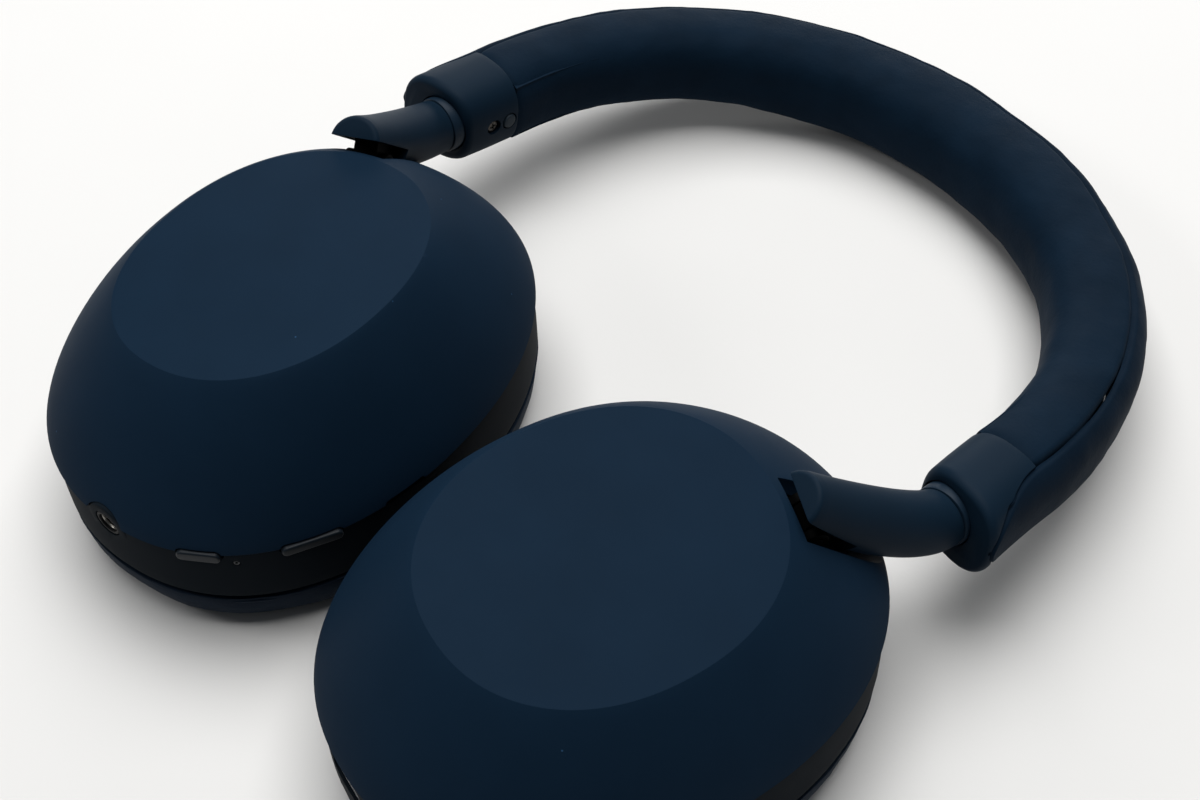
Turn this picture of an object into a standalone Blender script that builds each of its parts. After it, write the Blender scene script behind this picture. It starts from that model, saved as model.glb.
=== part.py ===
"""Folding over ear headphones, lying flat on their ear pads.

Units are metres. +X is the side of the right cup, +Y points to the top of the headband and +Z up.
The origin is the centre of the box around the headphones, on the surface that they lie on.
"""

import math

import bmesh
import bpy
from mathutils import Matrix, Vector

MM = 0.001
GAP = 0.3 * MM  # clearance between neighbouring pieces
SIDES = {"left": -1, "right": 1}

# Cups, in the cup's own axes: x across, y along its length towards the headband, z up to its face.
CUP_CENTRE = Vector((40.3 * MM, -48.8 * MM, 0))
CUP_TURN = math.radians(10.9)  # the tops of the cups lean away from each other
CUP_HALF_WIDTH = 38.2 * MM
CUP_HALF_LENGTH = 47.3 * MM
CUP_POWER = 2.15  # superellipse exponent of the outline
CUP_SEGMENTS = 36

FACE_CENTRE = Vector((0.8 * MM, -0.2 * MM, 45.3 * MM))
FACE_HALF_WIDTH = 24.1 * MM
FACE_HALF_LENGTH = 29.2 * MM
FACE_TILT_OUT = math.tan(math.radians(6.3))
FACE_TILT_TOP = math.tan(math.radians(1.0))

PARTING_Z = 23.1 * MM  # where the outer shell meets the inner one
INNER_BOTTOM_Z = 9.8 * MM
WALL = 2.0 * MM
SLOPE_START = 1.1  # exponents of the outer shell's convex slope
SLOPE_END = 1.25

PAD_TOP_Z = 9.4 * MM
PAD_INSET = 1.0 * MM
EAR_HALF_WIDTH = 19.5 * MM
EAR_HALF_LENGTH = 29.5 * MM
SCRIM_Z = 12.2 * MM
BAFFLE_Z = 13.0 * MM
DRIVER_RADIUS = 15.0 * MM

# Headband, whose plane slopes down from the arms to the table.
STEM_X = 64.2 * MM
STEM_Y = 6.0 * MM
STEM_Z = 24.2 * MM
BAND_SLOPE = 0.1796
BAND_HALF_WIDTH = 65.7 * MM
BAND_BEND_Y = 22.1 * MM  # the legs are straight up to here
BAND_RISE = 64.2 * MM  # from there to the apex
BAND_POWER = 2.08
BAND_STATIONS = 28
LEG_FLARE = 0.7 * MM  # how far a leg leans out over LEG_LENGTH
LEG_LENGTH = 16.0 * MM
LEG_HALF_THICK = 8.7 * MM
LEG_HALF_HEIGHT = 8.5 * MM
APEX_HALF_THICK = 9.6 * MM
APEX_HALF_HEIGHT = 9.5 * MM
SECTION_POWER = 2.5

CAP_END_Y = 6.6 * MM  # on the inner side
CAP_SLANT = 2.6 * MM  # how much further the outer side reaches
CAP_SEAM_Y = 18.8 * MM
HOUSING_START_Y = 10.4 * MM
HOUSING_END_Y = 35.5 * MM
TONGUE_TIP_Y = 4.6 * MM
TONGUE_GAP = 0.6 * MM
COVER_SHARE = 0.9  # how much of the headband's height the outer cover spans
COVER_THICK = 2.2 * MM
CHANNEL_HALF = 6.0 * MM  # half height of the channel for the core and the guides
CHANNEL_DEPTH_LEG = 7.3 * MM
CHANNEL_DEPTH_APEX = 3.0 * MM
CORE_START_Y = 37.2 * MM
SCREW_Y = 12.8 * MM
MARKER_Y = 16.6 * MM
CAP_HOLES = ((SCREW_Y, 1.6 * MM, 1.2 * MM), (MARKER_Y, 1.75 * MM, 0.8 * MM))  # y, radius, depth

# Sliders and arms.
COLLAR_RADIUS = 5.5 * MM
ROD_RADIUS = 4.4 * MM
GUIDE_BORE = 4.7 * MM
GUIDE_RADIUS = 5.3 * MM
SPIGOT_RADIUS = 3.6 * MM
ROD_END_Y = 34.8 * MM
ARM_START_Y = 4.1 * MM
ARM_RADIUS = 5.2 * MM
ARM_MID_RADIUS = 5.5 * MM
ARM_END_RADIUS = 4.9 * MM
ARM_WALL = 1.2 * MM
ARM_END = Vector((54.25 * MM, -21.4 * MM, 44.5 * MM))
ARM_END_ALONG = Vector((0.25, 0.61, -0.75)).normalized()  # from the end face into the arm
ARM_END_HANDLE = 9.0 * MM
ARM_START_HANDLE = 6.0 * MM
ARM_STATIONS = 10
HOOD_LENGTH = 13.0 * MM
HOOD_RISE = 0.9 * MM  # how far the hood's open edge is above the arm's centre line
POCKET_CLEARANCE = 1.1 * MM
POCKET_WALL = 1.6 * MM
POCKET_SETBACK = 0.6 * MM

# The hinge between arm and cup: along the arm from its end face, and below its centre line.
PIN_ALONG = 7.6 * MM
PIN_BELOW = 2.8 * MM
PIN_RADIUS = 1.0 * MM
EAR_RADIUS = 2.1 * MM

NAVY = (0.012, 0.022, 0.036)
NAVY_FACE = (0.016, 0.032, 0.055)
SLATE = (0.016, 0.021, 0.028)
LEATHER = (0.010, 0.017, 0.026)
BLACK = (0.006, 0.006, 0.007)
STEEL = (0.55, 0.56, 0.58)
BRASS = (0.60, 0.45, 0.20)
GREEN = (0.02, 0.10, 0.05)
SILVER = (0.62, 0.62, 0.60)


# ---------------------------------------------------------------- helpers


def material(name, colour, roughness, metallic=0.0):
    """A Principled material, made once and then shared."""
    found = bpy.data.materials.get(name)
    if found:
        return found
    made = bpy.data.materials.new(name)
    made.use_nodes = True
    shader = made.node_tree.nodes["Principled BSDF"]
    shader.inputs["Base Color"].default_value = (*colour, 1)
    shader.inputs["Roughness"].default_value = roughness
    shader.inputs["Metallic"].default_value = metallic
    made.diffuse_color = (*colour, 1)
    return made


def paint(piece, name, colour, roughness, metallic=0.0):
    """Gives a piece its own material, named after it."""
    piece.data.materials.clear()
    piece.data.materials.append(material(name + "_finish", colour, roughness, metallic))
    return piece


def link(name, bm, smooth_angle=35):
    """Turns a bmesh into a linked object with faces pointing out."""
    bmesh.ops.remove_doubles(bm, verts=bm.verts, dist=1e-6)
    bmesh.ops.recalc_face_normals(bm, faces=bm.faces)
    mesh = bpy.data.meshes.new(name)
    bm.to_mesh(mesh)
    bm.free()
    mesh.shade_smooth()
    mesh.set_sharp_from_angle(angle=math.radians(smooth_angle))
    piece = bpy.data.objects.new(name, mesh)
    bpy.context.scene.collection.objects.link(piece)
    return piece


def loft(name, rings, closed=False):
    """Joins rings of points with quads. The ends get flat caps, unless the last ring meets the first."""
    bm = bmesh.new()
    rows = [[bm.verts.new(point) for point in ring] for ring in rings]
    pairs = list(zip(rows, rows[1:]))
    if closed:
        pairs.append((rows[-1], rows[0]))
    for low, high in pairs:
        count = len(low)
        for i in range(count):
            j = (i + 1) % count
            bm.faces.new((low[i], low[j], high[j], high[i]))
    if not closed:
        bm.faces.new(rows[0])
        bm.faces.new(rows[-1])
    return link(name, bm)


def signed_power(value, power):
    return math.copysign(abs(value) ** power, value)


def oval(half_x, half_y, z, power=CUP_POWER, count=CUP_SEGMENTS, centre=(0, 0)):
    """A ring of points on a superellipse at height z."""
    ring = []
    for i in range(count):
        angle = 2 * math.pi * i / count
        x = centre[0] + half_x * signed_power(math.cos(angle), 2 / power)
        y = centre[1] + half_y * signed_power(math.sin(angle), 2 / power)
        ring.append(Vector((x, y, z)))
    return ring


def cup_ring(inset, z, count=CUP_SEGMENTS):
    """The cup's outline, moved in by inset, at height z."""
    return oval(CUP_HALF_WIDTH - inset, CUP_HALF_LENGTH - inset, z, count=count)


def circle(radius, z, count=20, centre=(0, 0)):
    return oval(radius, radius, z, power=2, count=count, centre=centre)


def turned(name, profile, count=20):
    """A solid of revolution about Z from (radius, z) points, listed from one end to the other."""
    return loft(name, [circle(radius, z, count) for radius, z in profile])


def box(name, size, centre=(0, 0, 0), bevel=0.0):
    """A block, with its edges rounded off where bevel is given."""
    bm = bmesh.new()
    bmesh.ops.create_cube(bm, size=1)
    for vert in bm.verts:
        vert.co = Vector(vert.co[i] * size[i] + centre[i] for i in range(3))
    if bevel:
        bmesh.ops.bevel(bm, geom=bm.edges[:], offset=bevel, segments=2, affect="EDGES", profile=0.5)
    return link(name, bm)


def pill(name, length, height, depth, count=6):
    """A bar with round ends, long in X and tall in Z, from y = 0 to y = depth."""
    ends = []
    for start, sign in ((-90, 1), (90, -1)):
        for i in range(count + 1):
            angle = math.radians(start + 180 * i / count)
            x = sign * (length - height) / 2 + height / 2 * math.cos(angle)
            ends.append((x, height / 2 * math.sin(angle)))
    rings = [[Vector((x, y, z)) for x, z in ends] for y in (0, depth)]
    return loft(name, rings)


def mirrored(piece, side):
    """Flips a piece made for the right side over to the left."""
    if side < 0:
        piece.data.transform(Matrix.Diagonal((-1, 1, 1, 1)))
        piece.data.flip_normals()
    return piece


def apply_matrix(piece, matrix):
    piece.data.transform(matrix)
    return piece


def boolean(piece, cutter, operation):
    """Applies a Boolean at once and removes the other object."""
    modifier = piece.modifiers.new(operation.lower(), "BOOLEAN")
    modifier.operation = operation
    modifier.solver = "EXACT"
    modifier.object = cutter
    graph = bpy.context.evaluated_depsgraph_get()
    result = bpy.data.meshes.new_from_object(piece.evaluated_get(graph))
    piece.modifiers.clear()
    old = piece.data
    piece.data = result
    bpy.data.meshes.remove(old)
    bpy.data.objects.remove(cutter)
    return piece


def cut(piece, cutter):
    return boolean(piece, cutter, "DIFFERENCE")


def join(piece, other):
    return boolean(piece, other, "UNION")


def tidy(piece, smooth_angle=35):
    """Welds what a Boolean left split and shades the result again."""
    bm = bmesh.new()
    bm.from_mesh(piece.data)
    bmesh.ops.remove_doubles(bm, verts=bm.verts, dist=0.02 * MM)
    bmesh.ops.dissolve_degenerate(bm, edges=bm.edges, dist=0.005 * MM)
    bm.to_mesh(piece.data)
    bm.free()
    piece.data.shade_smooth()
    piece.data.set_sharp_from_angle(angle=math.radians(smooth_angle))
    return piece


def empty(name, location):
    """An empty on a joint's axis, which the moving pieces hang from."""
    made = bpy.data.objects.new(name, None)
    made.location = location
    made.empty_display_size = 0.01
    bpy.context.scene.collection.objects.link(made)
    return made


def hang(piece, parent):
    """Parents a piece to a joint's empty without moving it."""
    bpy.context.view_layer.update()
    piece.parent = parent
    piece.matrix_parent_inverse = parent.matrix_world.inverted()
    return piece


# ---------------------------------------------------------------- headband


def stem_direction():
    """From the arm into the headband, in the headband's plane."""
    return Vector((0, 1, -BAND_SLOPE)).normalized()


def plane_height(y):
    """Height of the headband's middle plane."""
    return STEM_Z - BAND_SLOPE * (y - STEM_Y)


def plane_normal():
    return Vector((0, BAND_SLOPE, 1)).normalized()


def stem_point(y, side=1):
    """The point of the slider's axis at y."""
    return Vector((side * STEM_X, y, plane_height(y)))


def leg_point(y, side=1):
    """The middle of the headband's straight leg at y."""
    lean = LEG_FLARE * (max(BAND_BEND_Y - y, 0) / LEG_LENGTH) ** 2
    return Vector((side * (BAND_HALF_WIDTH + lean), y, plane_height(y)))


def stem_frame(y):
    """A matrix that puts local Z on the stem axis of the right side, starting at y."""
    along = stem_direction()
    across = Vector((1, 0, 0))
    up = along.cross(across)
    matrix = Matrix((across, up, along)).transposed().to_4x4()
    matrix.translation = stem_point(y)
    return matrix


def band_path(angle):
    """The headband's middle line, from the right leg at 0 over the apex to the left leg at pi."""
    x = BAND_HALF_WIDTH * signed_power(math.cos(angle), 2 / BAND_POWER)
    y = BAND_BEND_Y + BAND_RISE * signed_power(math.sin(angle), 2 / BAND_POWER)
    return Vector((x, y, plane_height(y)))


def band_stations(start_y):
    """Points along the headband from one leg to the other, each with its outward direction."""
    normal = plane_normal()
    stations = []
    if start_y < BAND_BEND_Y:
        stations.append((leg_point(start_y), Vector((1, 0, 0))))
    step = math.pi / BAND_STATIONS
    for i in range(BAND_STATIONS + 1):
        angle = step * i
        here = band_path(angle)
        if here.y < start_y:
            continue
        before = band_path(max(angle - 0.1 * step, 0))
        after = band_path(min(angle + 0.1 * step, math.pi))
        stations.append((here, (after - before).cross(normal).normalized()))
    if start_y < BAND_BEND_Y:
        stations.append((leg_point(start_y, -1), Vector((-1, 0, 0))))
    return stations


def band_size(x):
    """Half thickness and half height of the headband at x, and how close to a leg that is."""
    share = min((x / BAND_HALF_WIDTH) ** 2, 1)
    half_thick = APEX_HALF_THICK + (LEG_HALF_THICK - APEX_HALF_THICK) * share
    half_height = APEX_HALF_HEIGHT + (LEG_HALF_HEIGHT - APEX_HALF_HEIGHT) * share
    return half_thick, half_height, share


def section_reach(up, half_thick, half_height):
    """How far out the headband's outline is at a height above or below its middle."""
    share = min(abs(up) / half_height, 1)
    return half_thick * (1 - share**SECTION_POWER) ** (1 / SECTION_POWER)


def section_arc(start, end, count, half_thick, half_height):
    """Points (out, up) on the headband's outline between two angles."""
    arc = []
    for i in range(count + 1):
        angle = start + (end - start) * i / count
        out = half_thick * signed_power(math.cos(angle), 2 / SECTION_POWER)
        up = half_height * signed_power(math.sin(angle), 2 / SECTION_POWER)
        arc.append((out, up))
    return arc


def place_section(station, section):
    """Puts (out, up) points at a station of the headband."""
    point, outward = station
    normal = plane_normal()
    return [point + outward * out + normal * up for out, up in section]


def cushion_section(x):
    """A C shape: the outline round the inside and a channel that is open to the outside."""
    half_thick, half_height, share = band_size(x)
    seam = math.asin(COVER_SHARE ** (SECTION_POWER / 2)) + 0.05
    outer = section_arc(seam, 2 * math.pi - seam, 12, half_thick, half_height)
    lip = outer[0][0]
    edge = COVER_SHARE * half_height - 1.6 * MM
    back = -(CHANNEL_DEPTH_APEX + (CHANNEL_DEPTH_LEG - CHANNEL_DEPTH_APEX) * share)
    return [*outer, (lip, -edge), (back, -CHANNEL_HALF), (back, CHANNEL_HALF), (lip, edge)]


def cushion():
    """The padded inside of the headband: a sleeve that the outer cover closes."""
    stations = band_stations(CAP_SEAM_Y + GAP)
    rings = [place_section(station, cushion_section(station[0].x)) for station in stations]
    return paint(loft("headband_cushion", rings), "headband_cushion", LEATHER, 0.6)


def tongue_share(y):
    """Share of the cover's height that is left at y, along the rounded tongue over the end cap."""
    share = (CAP_SEAM_Y - y) / (CAP_SEAM_Y - TONGUE_TIP_Y)
    return math.sqrt(max(1 - max(share, 0) ** 2.4, 0))


def cover_section(x, narrow=1.0, grow=0.0):
    """The outer cover's section: an arc on the outside, and a flat back with sloping sides."""
    half_thick, half_height, _ = band_size(x)
    edge = COVER_SHARE * half_height * narrow
    back = half_thick - COVER_THICK - grow
    arc = []
    count = 8
    for i in range(count + 1):
        up = edge * math.sin(math.radians(-90 + 180 * i / count))
        arc.append((section_reach(up, half_thick, half_height) + grow, up * (1 + grow / edge)))
    rim = min(arc[0][0] - 2 * grow, back)
    lip = edge - 1.4 * MM * min(max((back - rim) / (2 * MM), 0), 1)
    flat = 0.55 * edge
    if grow:
        arc = [(rim, -edge - grow), *arc, (rim, edge + grow)]
    return [*arc, (rim, lip + grow), (back, flat + grow), (back, -flat - grow), (rim, -lip - grow)]


def tongue_stations():
    """Places along the end cap, closer together towards the tongue's tip."""
    count = 7
    reach = CAP_SEAM_Y - TONGUE_TIP_Y
    return [CAP_SEAM_Y - reach * math.sin(0.5 * math.pi * 0.985 * i / count) for i in range(count, 0, -1)]


def tongue_rings(side, grow=0.0):
    """Rings of the cover's tongue from its tip up to the seam."""
    rings = []
    for y in tongue_stations():
        station = (leg_point(y, side), Vector((side, 0, 0)))
        rings.append(place_section(station, cover_section(BAND_HALF_WIDTH, tongue_share(y), grow)))
    return rings


def cover():
    """The strip round the outside of the headband, with a tongue over each end cap."""
    rings = tongue_rings(1)
    for station in band_stations(CAP_SEAM_Y):
        rings.append(place_section(station, cover_section(station[0].x)))
    rings.extend(reversed(tongue_rings(-1)))
    return paint(loft("headband_cover", rings), "headband_cover", LEATHER, 0.55)


def tongue_cutter():
    """The room for the cover's tongue in the right end cap."""
    rings = tongue_rings(1, TONGUE_GAP)
    tip = [point - Vector((0, GAP, 0)) for point in rings[0]]
    full = cover_section(BAND_HALF_WIDTH, 1, TONGUE_GAP)
    end = place_section((leg_point(CAP_SEAM_Y + 1 * MM), Vector((1, 0, 0))), full)
    return loft("tongue_cutter", [tip, *rings, end])


def end_cap(label, side):
    """The hard cap on the headband's end, with the socket that the slider runs through."""
    length = CAP_SEAM_Y - CAP_END_Y
    rings = []
    for share, inset in ((0, 1.1), (0.02, 0.6), (0.06, 0.2), (0.12, 0), (0.5, 0), (1, 0)):
        y = CAP_END_Y + share * length
        half_thick, half_height, _ = band_size(BAND_HALF_WIDTH)
        sizes = (half_thick - inset * MM, half_height - inset * MM)
        ring = section_arc(0, 2 * math.pi, 24, *sizes)[:-1]
        ring = place_section((leg_point(y), Vector((1, 0, 0))), ring)
        for point in ring:
            outer = 0.5 + 0.5 * (point.x - BAND_HALF_WIDTH) / half_thick
            point.y -= CAP_SLANT * min(max(outer, 0), 1) * (1 - share)
        rings.append(ring)
    piece = loft("end_cap_" + label, rings)
    cut(piece, tongue_cutter())
    bore = turned("bore", [(GUIDE_RADIUS + GAP, -20 * MM), (GUIDE_RADIUS + GAP, 20 * MM)])
    cut(piece, apply_matrix(bore, stem_frame(CAP_END_Y)))
    socket = turned("socket", [(COLLAR_RADIUS + 0.5 * MM, -5 * MM), (COLLAR_RADIUS + 0.5 * MM, 3.2 * MM)])
    cut(piece, apply_matrix(socket, stem_frame(CAP_END_Y)))
    for y, radius, depth in CAP_HOLES:
        cut(piece, apply_matrix(cap_hole(radius, depth), cap_hole_frame(y)))
    tidy(piece)
    return paint(mirrored(piece, side), "end_cap_" + label, NAVY, 0.45)


def cap_hole_frame(y):
    """A matrix that puts local Z along -X, out of the right end cap's inner side at y."""
    turn = Matrix.Rotation(math.radians(-90), 4, "Y")
    place = leg_point(y) - Vector((LEG_HALF_THICK, 0, 0))
    return Matrix.Translation(place) @ turn


def cap_hole(radius, depth):
    return turned("cap_hole", [(radius, -depth), (radius, 5 * MM)], 16)


def end_cap_screw(label, side):
    """The recessed screw on the inner side of the end cap."""
    profile = [(1.25 * MM, -1.1 * MM), (1.25 * MM, -0.7 * MM), (1.05 * MM, -0.5 * MM)]
    piece = turned("end_cap_screw_" + label, profile, 16)
    cross = box("cross", (1.4 * MM, 0.35 * MM, 0.5 * MM), (0, 0, -0.5 * MM))
    cut(piece, join(cross, box("bar", (0.35 * MM, 1.4 * MM, 0.5 * MM), (0, 0, -0.5 * MM))))
    apply_matrix(piece, cap_hole_frame(SCREW_Y))
    return paint(mirrored(piece, side), "end_cap_screw_" + label, STEEL, 0.35, 1.0)


def side_marker(label, side):
    """The raised disc that tells left from right by touch."""
    profile = [(1.45 * MM, -0.5 * MM), (1.45 * MM, 0.0), (1.2 * MM, 0.25 * MM)]
    piece = turned("side_marker_" + label, profile, 16)
    apply_matrix(piece, cap_hole_frame(MARKER_Y))
    return paint(mirrored(piece, side), "side_marker_" + label, SLATE, 0.4)


def slider_guide(label, side):
    """The tube inside the headband's end that the slider's rod runs in."""
    length = HOUSING_END_Y - HOUSING_START_Y
    rings = []
    for radius, z in ((GUIDE_BORE, 0), (GUIDE_RADIUS, 0), (GUIDE_RADIUS, length), (GUIDE_BORE, length)):
        rings.append(circle(radius, z))
    piece = loft("slider_guide_" + label, rings, closed=True)
    apply_matrix(piece, stem_frame(HOUSING_START_Y))
    return paint(mirrored(piece, side), "slider_guide_" + label, BLACK, 0.5)


def band_core():
    """The spring steel strip that gives the headband its clamping force."""
    half_thick = 0.7 * MM
    half_height = 5.4 * MM
    section = [
        (half_thick, -half_height),
        (half_thick, half_height),
        (-half_thick, half_height),
        (-half_thick, -half_height),
    ]
    rings = [place_section(station, section) for station in band_stations(CORE_START_Y)]
    return paint(loft("headband_core", rings), "headband_core", STEEL, 0.3, 1.0)


def headband():
    band_core()
    cushion()
    cover()
    for label, side in SIDES.items():
        end_cap(label, side)
        slider_guide(label, side)
        end_cap_screw(label, side)
        side_marker(label, side)


# ---------------------------------------------------------------- sliders and arms


def slider(label, side, parent):
    """The rod that lengthens the headband, with a collar and the spigot that the arm turns on."""
    collar_end = CAP_END_Y + 2.6 * MM - ARM_START_Y
    rod_end = ROD_END_Y - ARM_START_Y
    profile = [
        (SPIGOT_RADIUS - 0.4 * MM, -3.2 * MM),
        (SPIGOT_RADIUS, -2.8 * MM),
        (SPIGOT_RADIUS, GAP),
        (COLLAR_RADIUS, GAP),
        (COLLAR_RADIUS, collar_end - 0.3 * MM),
        (COLLAR_RADIUS - 0.3 * MM, collar_end),
        (ROD_RADIUS, collar_end),
        (ROD_RADIUS, rod_end - 0.6 * MM),
        (ROD_RADIUS - 0.6 * MM, rod_end),
    ]
    piece = turned("slider_" + label, profile)
    apply_matrix(piece, stem_frame(ARM_START_Y))
    paint(mirrored(piece, side), "slider_" + label, NAVY, 0.35)
    return hang(piece, parent)


def arm_path(share):
    """The arm's centre line, from its end face at the cup (0) to the slider (1)."""
    start, end = ARM_END, stem_point(ARM_START_Y)
    first = start + ARM_END_ALONG * ARM_END_HANDLE
    second = end - stem_direction() * ARM_START_HANDLE
    rest = 1 - share
    outer = start * rest**3 + end * share**3
    return outer + first * (3 * rest**2 * share) + second * (3 * rest * share**2)


def arm_frame(share):
    """The centre line's point, and the directions across, below and along the arm there."""
    step = 0.001
    here = arm_path(share)
    if share < step:
        along = ARM_END_ALONG
    elif share > 1 - step:
        along = stem_direction()
    else:
        along = (arm_path(share + step) - arm_path(share - step)).normalized()
    across = along.cross(Vector((FACE_TILT_OUT, FACE_TILT_TOP, 1))).normalized()
    below = along.cross(across)
    return here, across, below, along


def arm_ring(share, radius, shift=0.0, count=20):
    """A circle about the arm's centre line, which may lie shift beyond its place along the arm."""
    here, across, below, along = arm_frame(share)
    ring = []
    for i in range(count):
        angle = 2 * math.pi * i / count
        ring.append(here + along * shift + (across * math.cos(angle) + below * math.sin(angle)) * radius)
    return ring


def arm_radius(share):
    """The arm is thickest in the middle."""
    if share < 0.5:
        return ARM_END_RADIUS + (ARM_MID_RADIUS - ARM_END_RADIUS) * share / 0.5
    return ARM_MID_RADIUS + (ARM_RADIUS - ARM_MID_RADIUS) * (share - 0.5) / 0.5


def hood_matrix():
    """Local X runs across the arm's end, Y along the arm from its end face, Z away from the cup."""
    here, across, below, along = arm_frame(0)
    matrix = Matrix((across, along, -below)).transposed().to_4x4()
    matrix.translation = here
    return matrix


def arm(label, side, parent):
    """The hollow bent arm. Its end is a hood over the cup's hinge."""
    shares = [i / ARM_STATIONS for i in range(1, ARM_STATIONS + 1)]
    rings = [arm_ring(0, ARM_END_RADIUS - 0.8 * MM), arm_ring(0, ARM_END_RADIUS - 0.2 * MM, 0.2 * MM)]
    rings.append(arm_ring(0, ARM_END_RADIUS, 0.8 * MM))
    rings.extend(arm_ring(share, arm_radius(share)) for share in shares)
    rings.extend(arm_ring(share, arm_radius(share) - ARM_WALL) for share in reversed(shares))
    rings.append(arm_ring(0, ARM_END_RADIUS - ARM_WALL, 1.6 * MM))
    piece = loft("arm_" + label, rings)
    depth = 14 * MM
    centre = (0, HOOD_LENGTH / 2 - 5 * MM, HOOD_RISE - depth / 2)
    below_hood = box("below_hood", (20 * MM, HOOD_LENGTH + 10 * MM, depth), centre)
    cut(piece, apply_matrix(below_hood, hood_matrix()))
    tidy(piece)
    paint(mirrored(piece, side), "arm_" + label, NAVY, 0.4)
    return hang(piece, parent)


def hinge_knuckle(label, side, parent):
    """The block under the arm's hood that turns on the hinge pin."""
    width = 4.6 * MM
    front = PIN_ALONG - EAR_RADIUS
    back = PIN_ALONG + EAR_RADIUS
    points = [(back, 0.8 * MM), (HOOD_LENGTH - 1 * MM, 0.8 * MM), (HOOD_LENGTH - 1 * MM, -2.4 * MM)]
    points.extend([(front, -2.4 * MM), (front, PIN_BELOW)])
    for i in range(1, 9):
        angle = math.radians(180 - 180 * i / 8)
        points.append((PIN_ALONG + EAR_RADIUS * math.cos(angle), PIN_BELOW + EAR_RADIUS * math.sin(angle)))
    rings = [[Vector((x, along, -below)) for along, below in points] for x in (-width / 2, width / 2)]
    piece = loft("hinge_knuckle_" + label, rings)
    cut(piece, pin_cylinder("knuckle_bore", PIN_RADIUS + 0.08 * MM, 20 * MM))
    apply_matrix(piece, hood_matrix())
    paint(mirrored(piece, side), "hinge_knuckle_" + label, BLACK, 0.5)
    return hang(piece, parent)


def pin_cylinder(name, radius, length):
    """A cylinder on the hinge axis, in the hood's own axes."""
    piece = turned(name, [(radius, -length / 2), (radius, length / 2)], 20)
    turn = Matrix.Rotation(math.radians(90), 4, "Y")
    return apply_matrix(piece, Matrix.Translation((0, PIN_ALONG, -PIN_BELOW)) @ turn)


def pin_centre(side):
    """Where the hinge pin's middle is."""
    place = hood_matrix() @ Vector((0, PIN_ALONG, -PIN_BELOW))
    return Vector((side * place.x, place.y, place.z))


# ---------------------------------------------------------------- cups


def cup_matrix():
    """From the right cup's own axes to the whole object's."""
    return Matrix.Translation(CUP_CENTRE) @ Matrix.Rotation(-CUP_TURN, 4, "Z")


def face_height(x, y):
    """Height of the tilted flat face at a point in the cup's axes."""
    dx = x - FACE_CENTRE.x
    dy = y - FACE_CENTRE.y
    out = dx * math.cos(CUP_TURN) + dy * math.sin(CUP_TURN)
    top = dy * math.cos(CUP_TURN) - dx * math.sin(CUP_TURN)
    return FACE_CENTRE.z - FACE_TILT_OUT * out - FACE_TILT_TOP * top


def face_ring(inset, drop):
    """The edge of the flat face, moved in by inset and down by drop."""
    half_width = FACE_HALF_WIDTH - inset
    half_length = FACE_HALF_LENGTH - inset
    ring = oval(half_width, half_length, 0, centre=(FACE_CENTRE.x, FACE_CENTRE.y))
    for point in ring:
        point.z = face_height(point.x, point.y) - drop
    return ring


def slope_ring(top, bottom, share):
    """A ring part of the way down the outer shell's convex slope."""
    fall = 1 - (1 - share**SLOPE_START) ** (1 / SLOPE_END)
    ring = []
    for high, low in zip(top, bottom):
        point = high.lerp(low, share)
        point.z = high.z + (low.z - high.z) * fall
        ring.append(point)
    return ring


def shell_rings(inset, drop, shares):
    """Rings from the flat face down to the parting line."""
    top = face_ring(inset * 0.6, drop)
    bottom = cup_ring(inset, PARTING_Z)
    return [slope_ring(top, bottom, share) for share in shares]


def arm_pocket(margin):
    """The room round the arm, margin wider than it, ended by an upright plane by the arm's end face."""
    rings = [arm_ring(0, ARM_END_RADIUS + margin, -6 * MM)]
    for i in range(11):
        rings.append(arm_ring(i / 10, arm_radius(i / 10) + margin))
    piece = loft("arm_pocket", rings)
    size = 60 * MM
    flat = Vector((ARM_END_ALONG.x, ARM_END_ALONG.y, 0)).normalized()
    turn = flat.to_track_quat("Y", "Z").to_matrix().to_4x4()
    edge = POCKET_SETBACK + margin - POCKET_CLEARANCE
    place = Matrix.Translation(ARM_END - flat * edge) @ turn
    boolean(piece, apply_matrix(box("half", (size, size, size), (0, size / 2, 0)), place), "INTERSECT")
    return apply_matrix(piece, cup_matrix().inverted())


def cup_blank():
    """The outer shell's whole volume, a little inside its surface."""
    rings = shell_rings(0.8 * MM, 0.8 * MM, (0, 0.25, 0.5, 0.7, 0.85, 0.95, 1))
    return loft("cup_blank", rings)


def outer_shell(label, side, parent):
    """The cup's outer shell: a bowl with a flat face and a pocket for the arm."""
    shares = (0, 0.15, 0.32, 0.5, 0.68, 0.84, 0.95, 1)
    rings = shell_rings(0, 0, shares)
    rings.extend(reversed(shell_rings(WALL, WALL, (0, 0.32, 0.68, 0.9, 1))))
    piece = loft("outer_shell_" + label, rings)
    wall = arm_pocket(POCKET_CLEARANCE + POCKET_WALL)
    join(piece, boolean(wall, cup_blank(), "INTERSECT"))
    cut(piece, arm_pocket(POCKET_CLEARANCE))
    slot = box("bracket_slot", (10.4 * MM, 6.2 * MM, 8 * MM), (0, PIN_ALONG, -7.6 * MM))
    cut(piece, apply_matrix(slot, cup_matrix().inverted() @ hood_matrix()))
    for cutter in wall_cutters(label):
        cut(piece, cutter)
    if label == "left":
        cut(piece, jack_boss_cutter())
    tidy(piece)
    paint(apply_matrix(piece, cup_matrix()), "outer_shell_" + label, NAVY, 0.42)
    return hang(mirrored(piece, side), parent)


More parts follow.
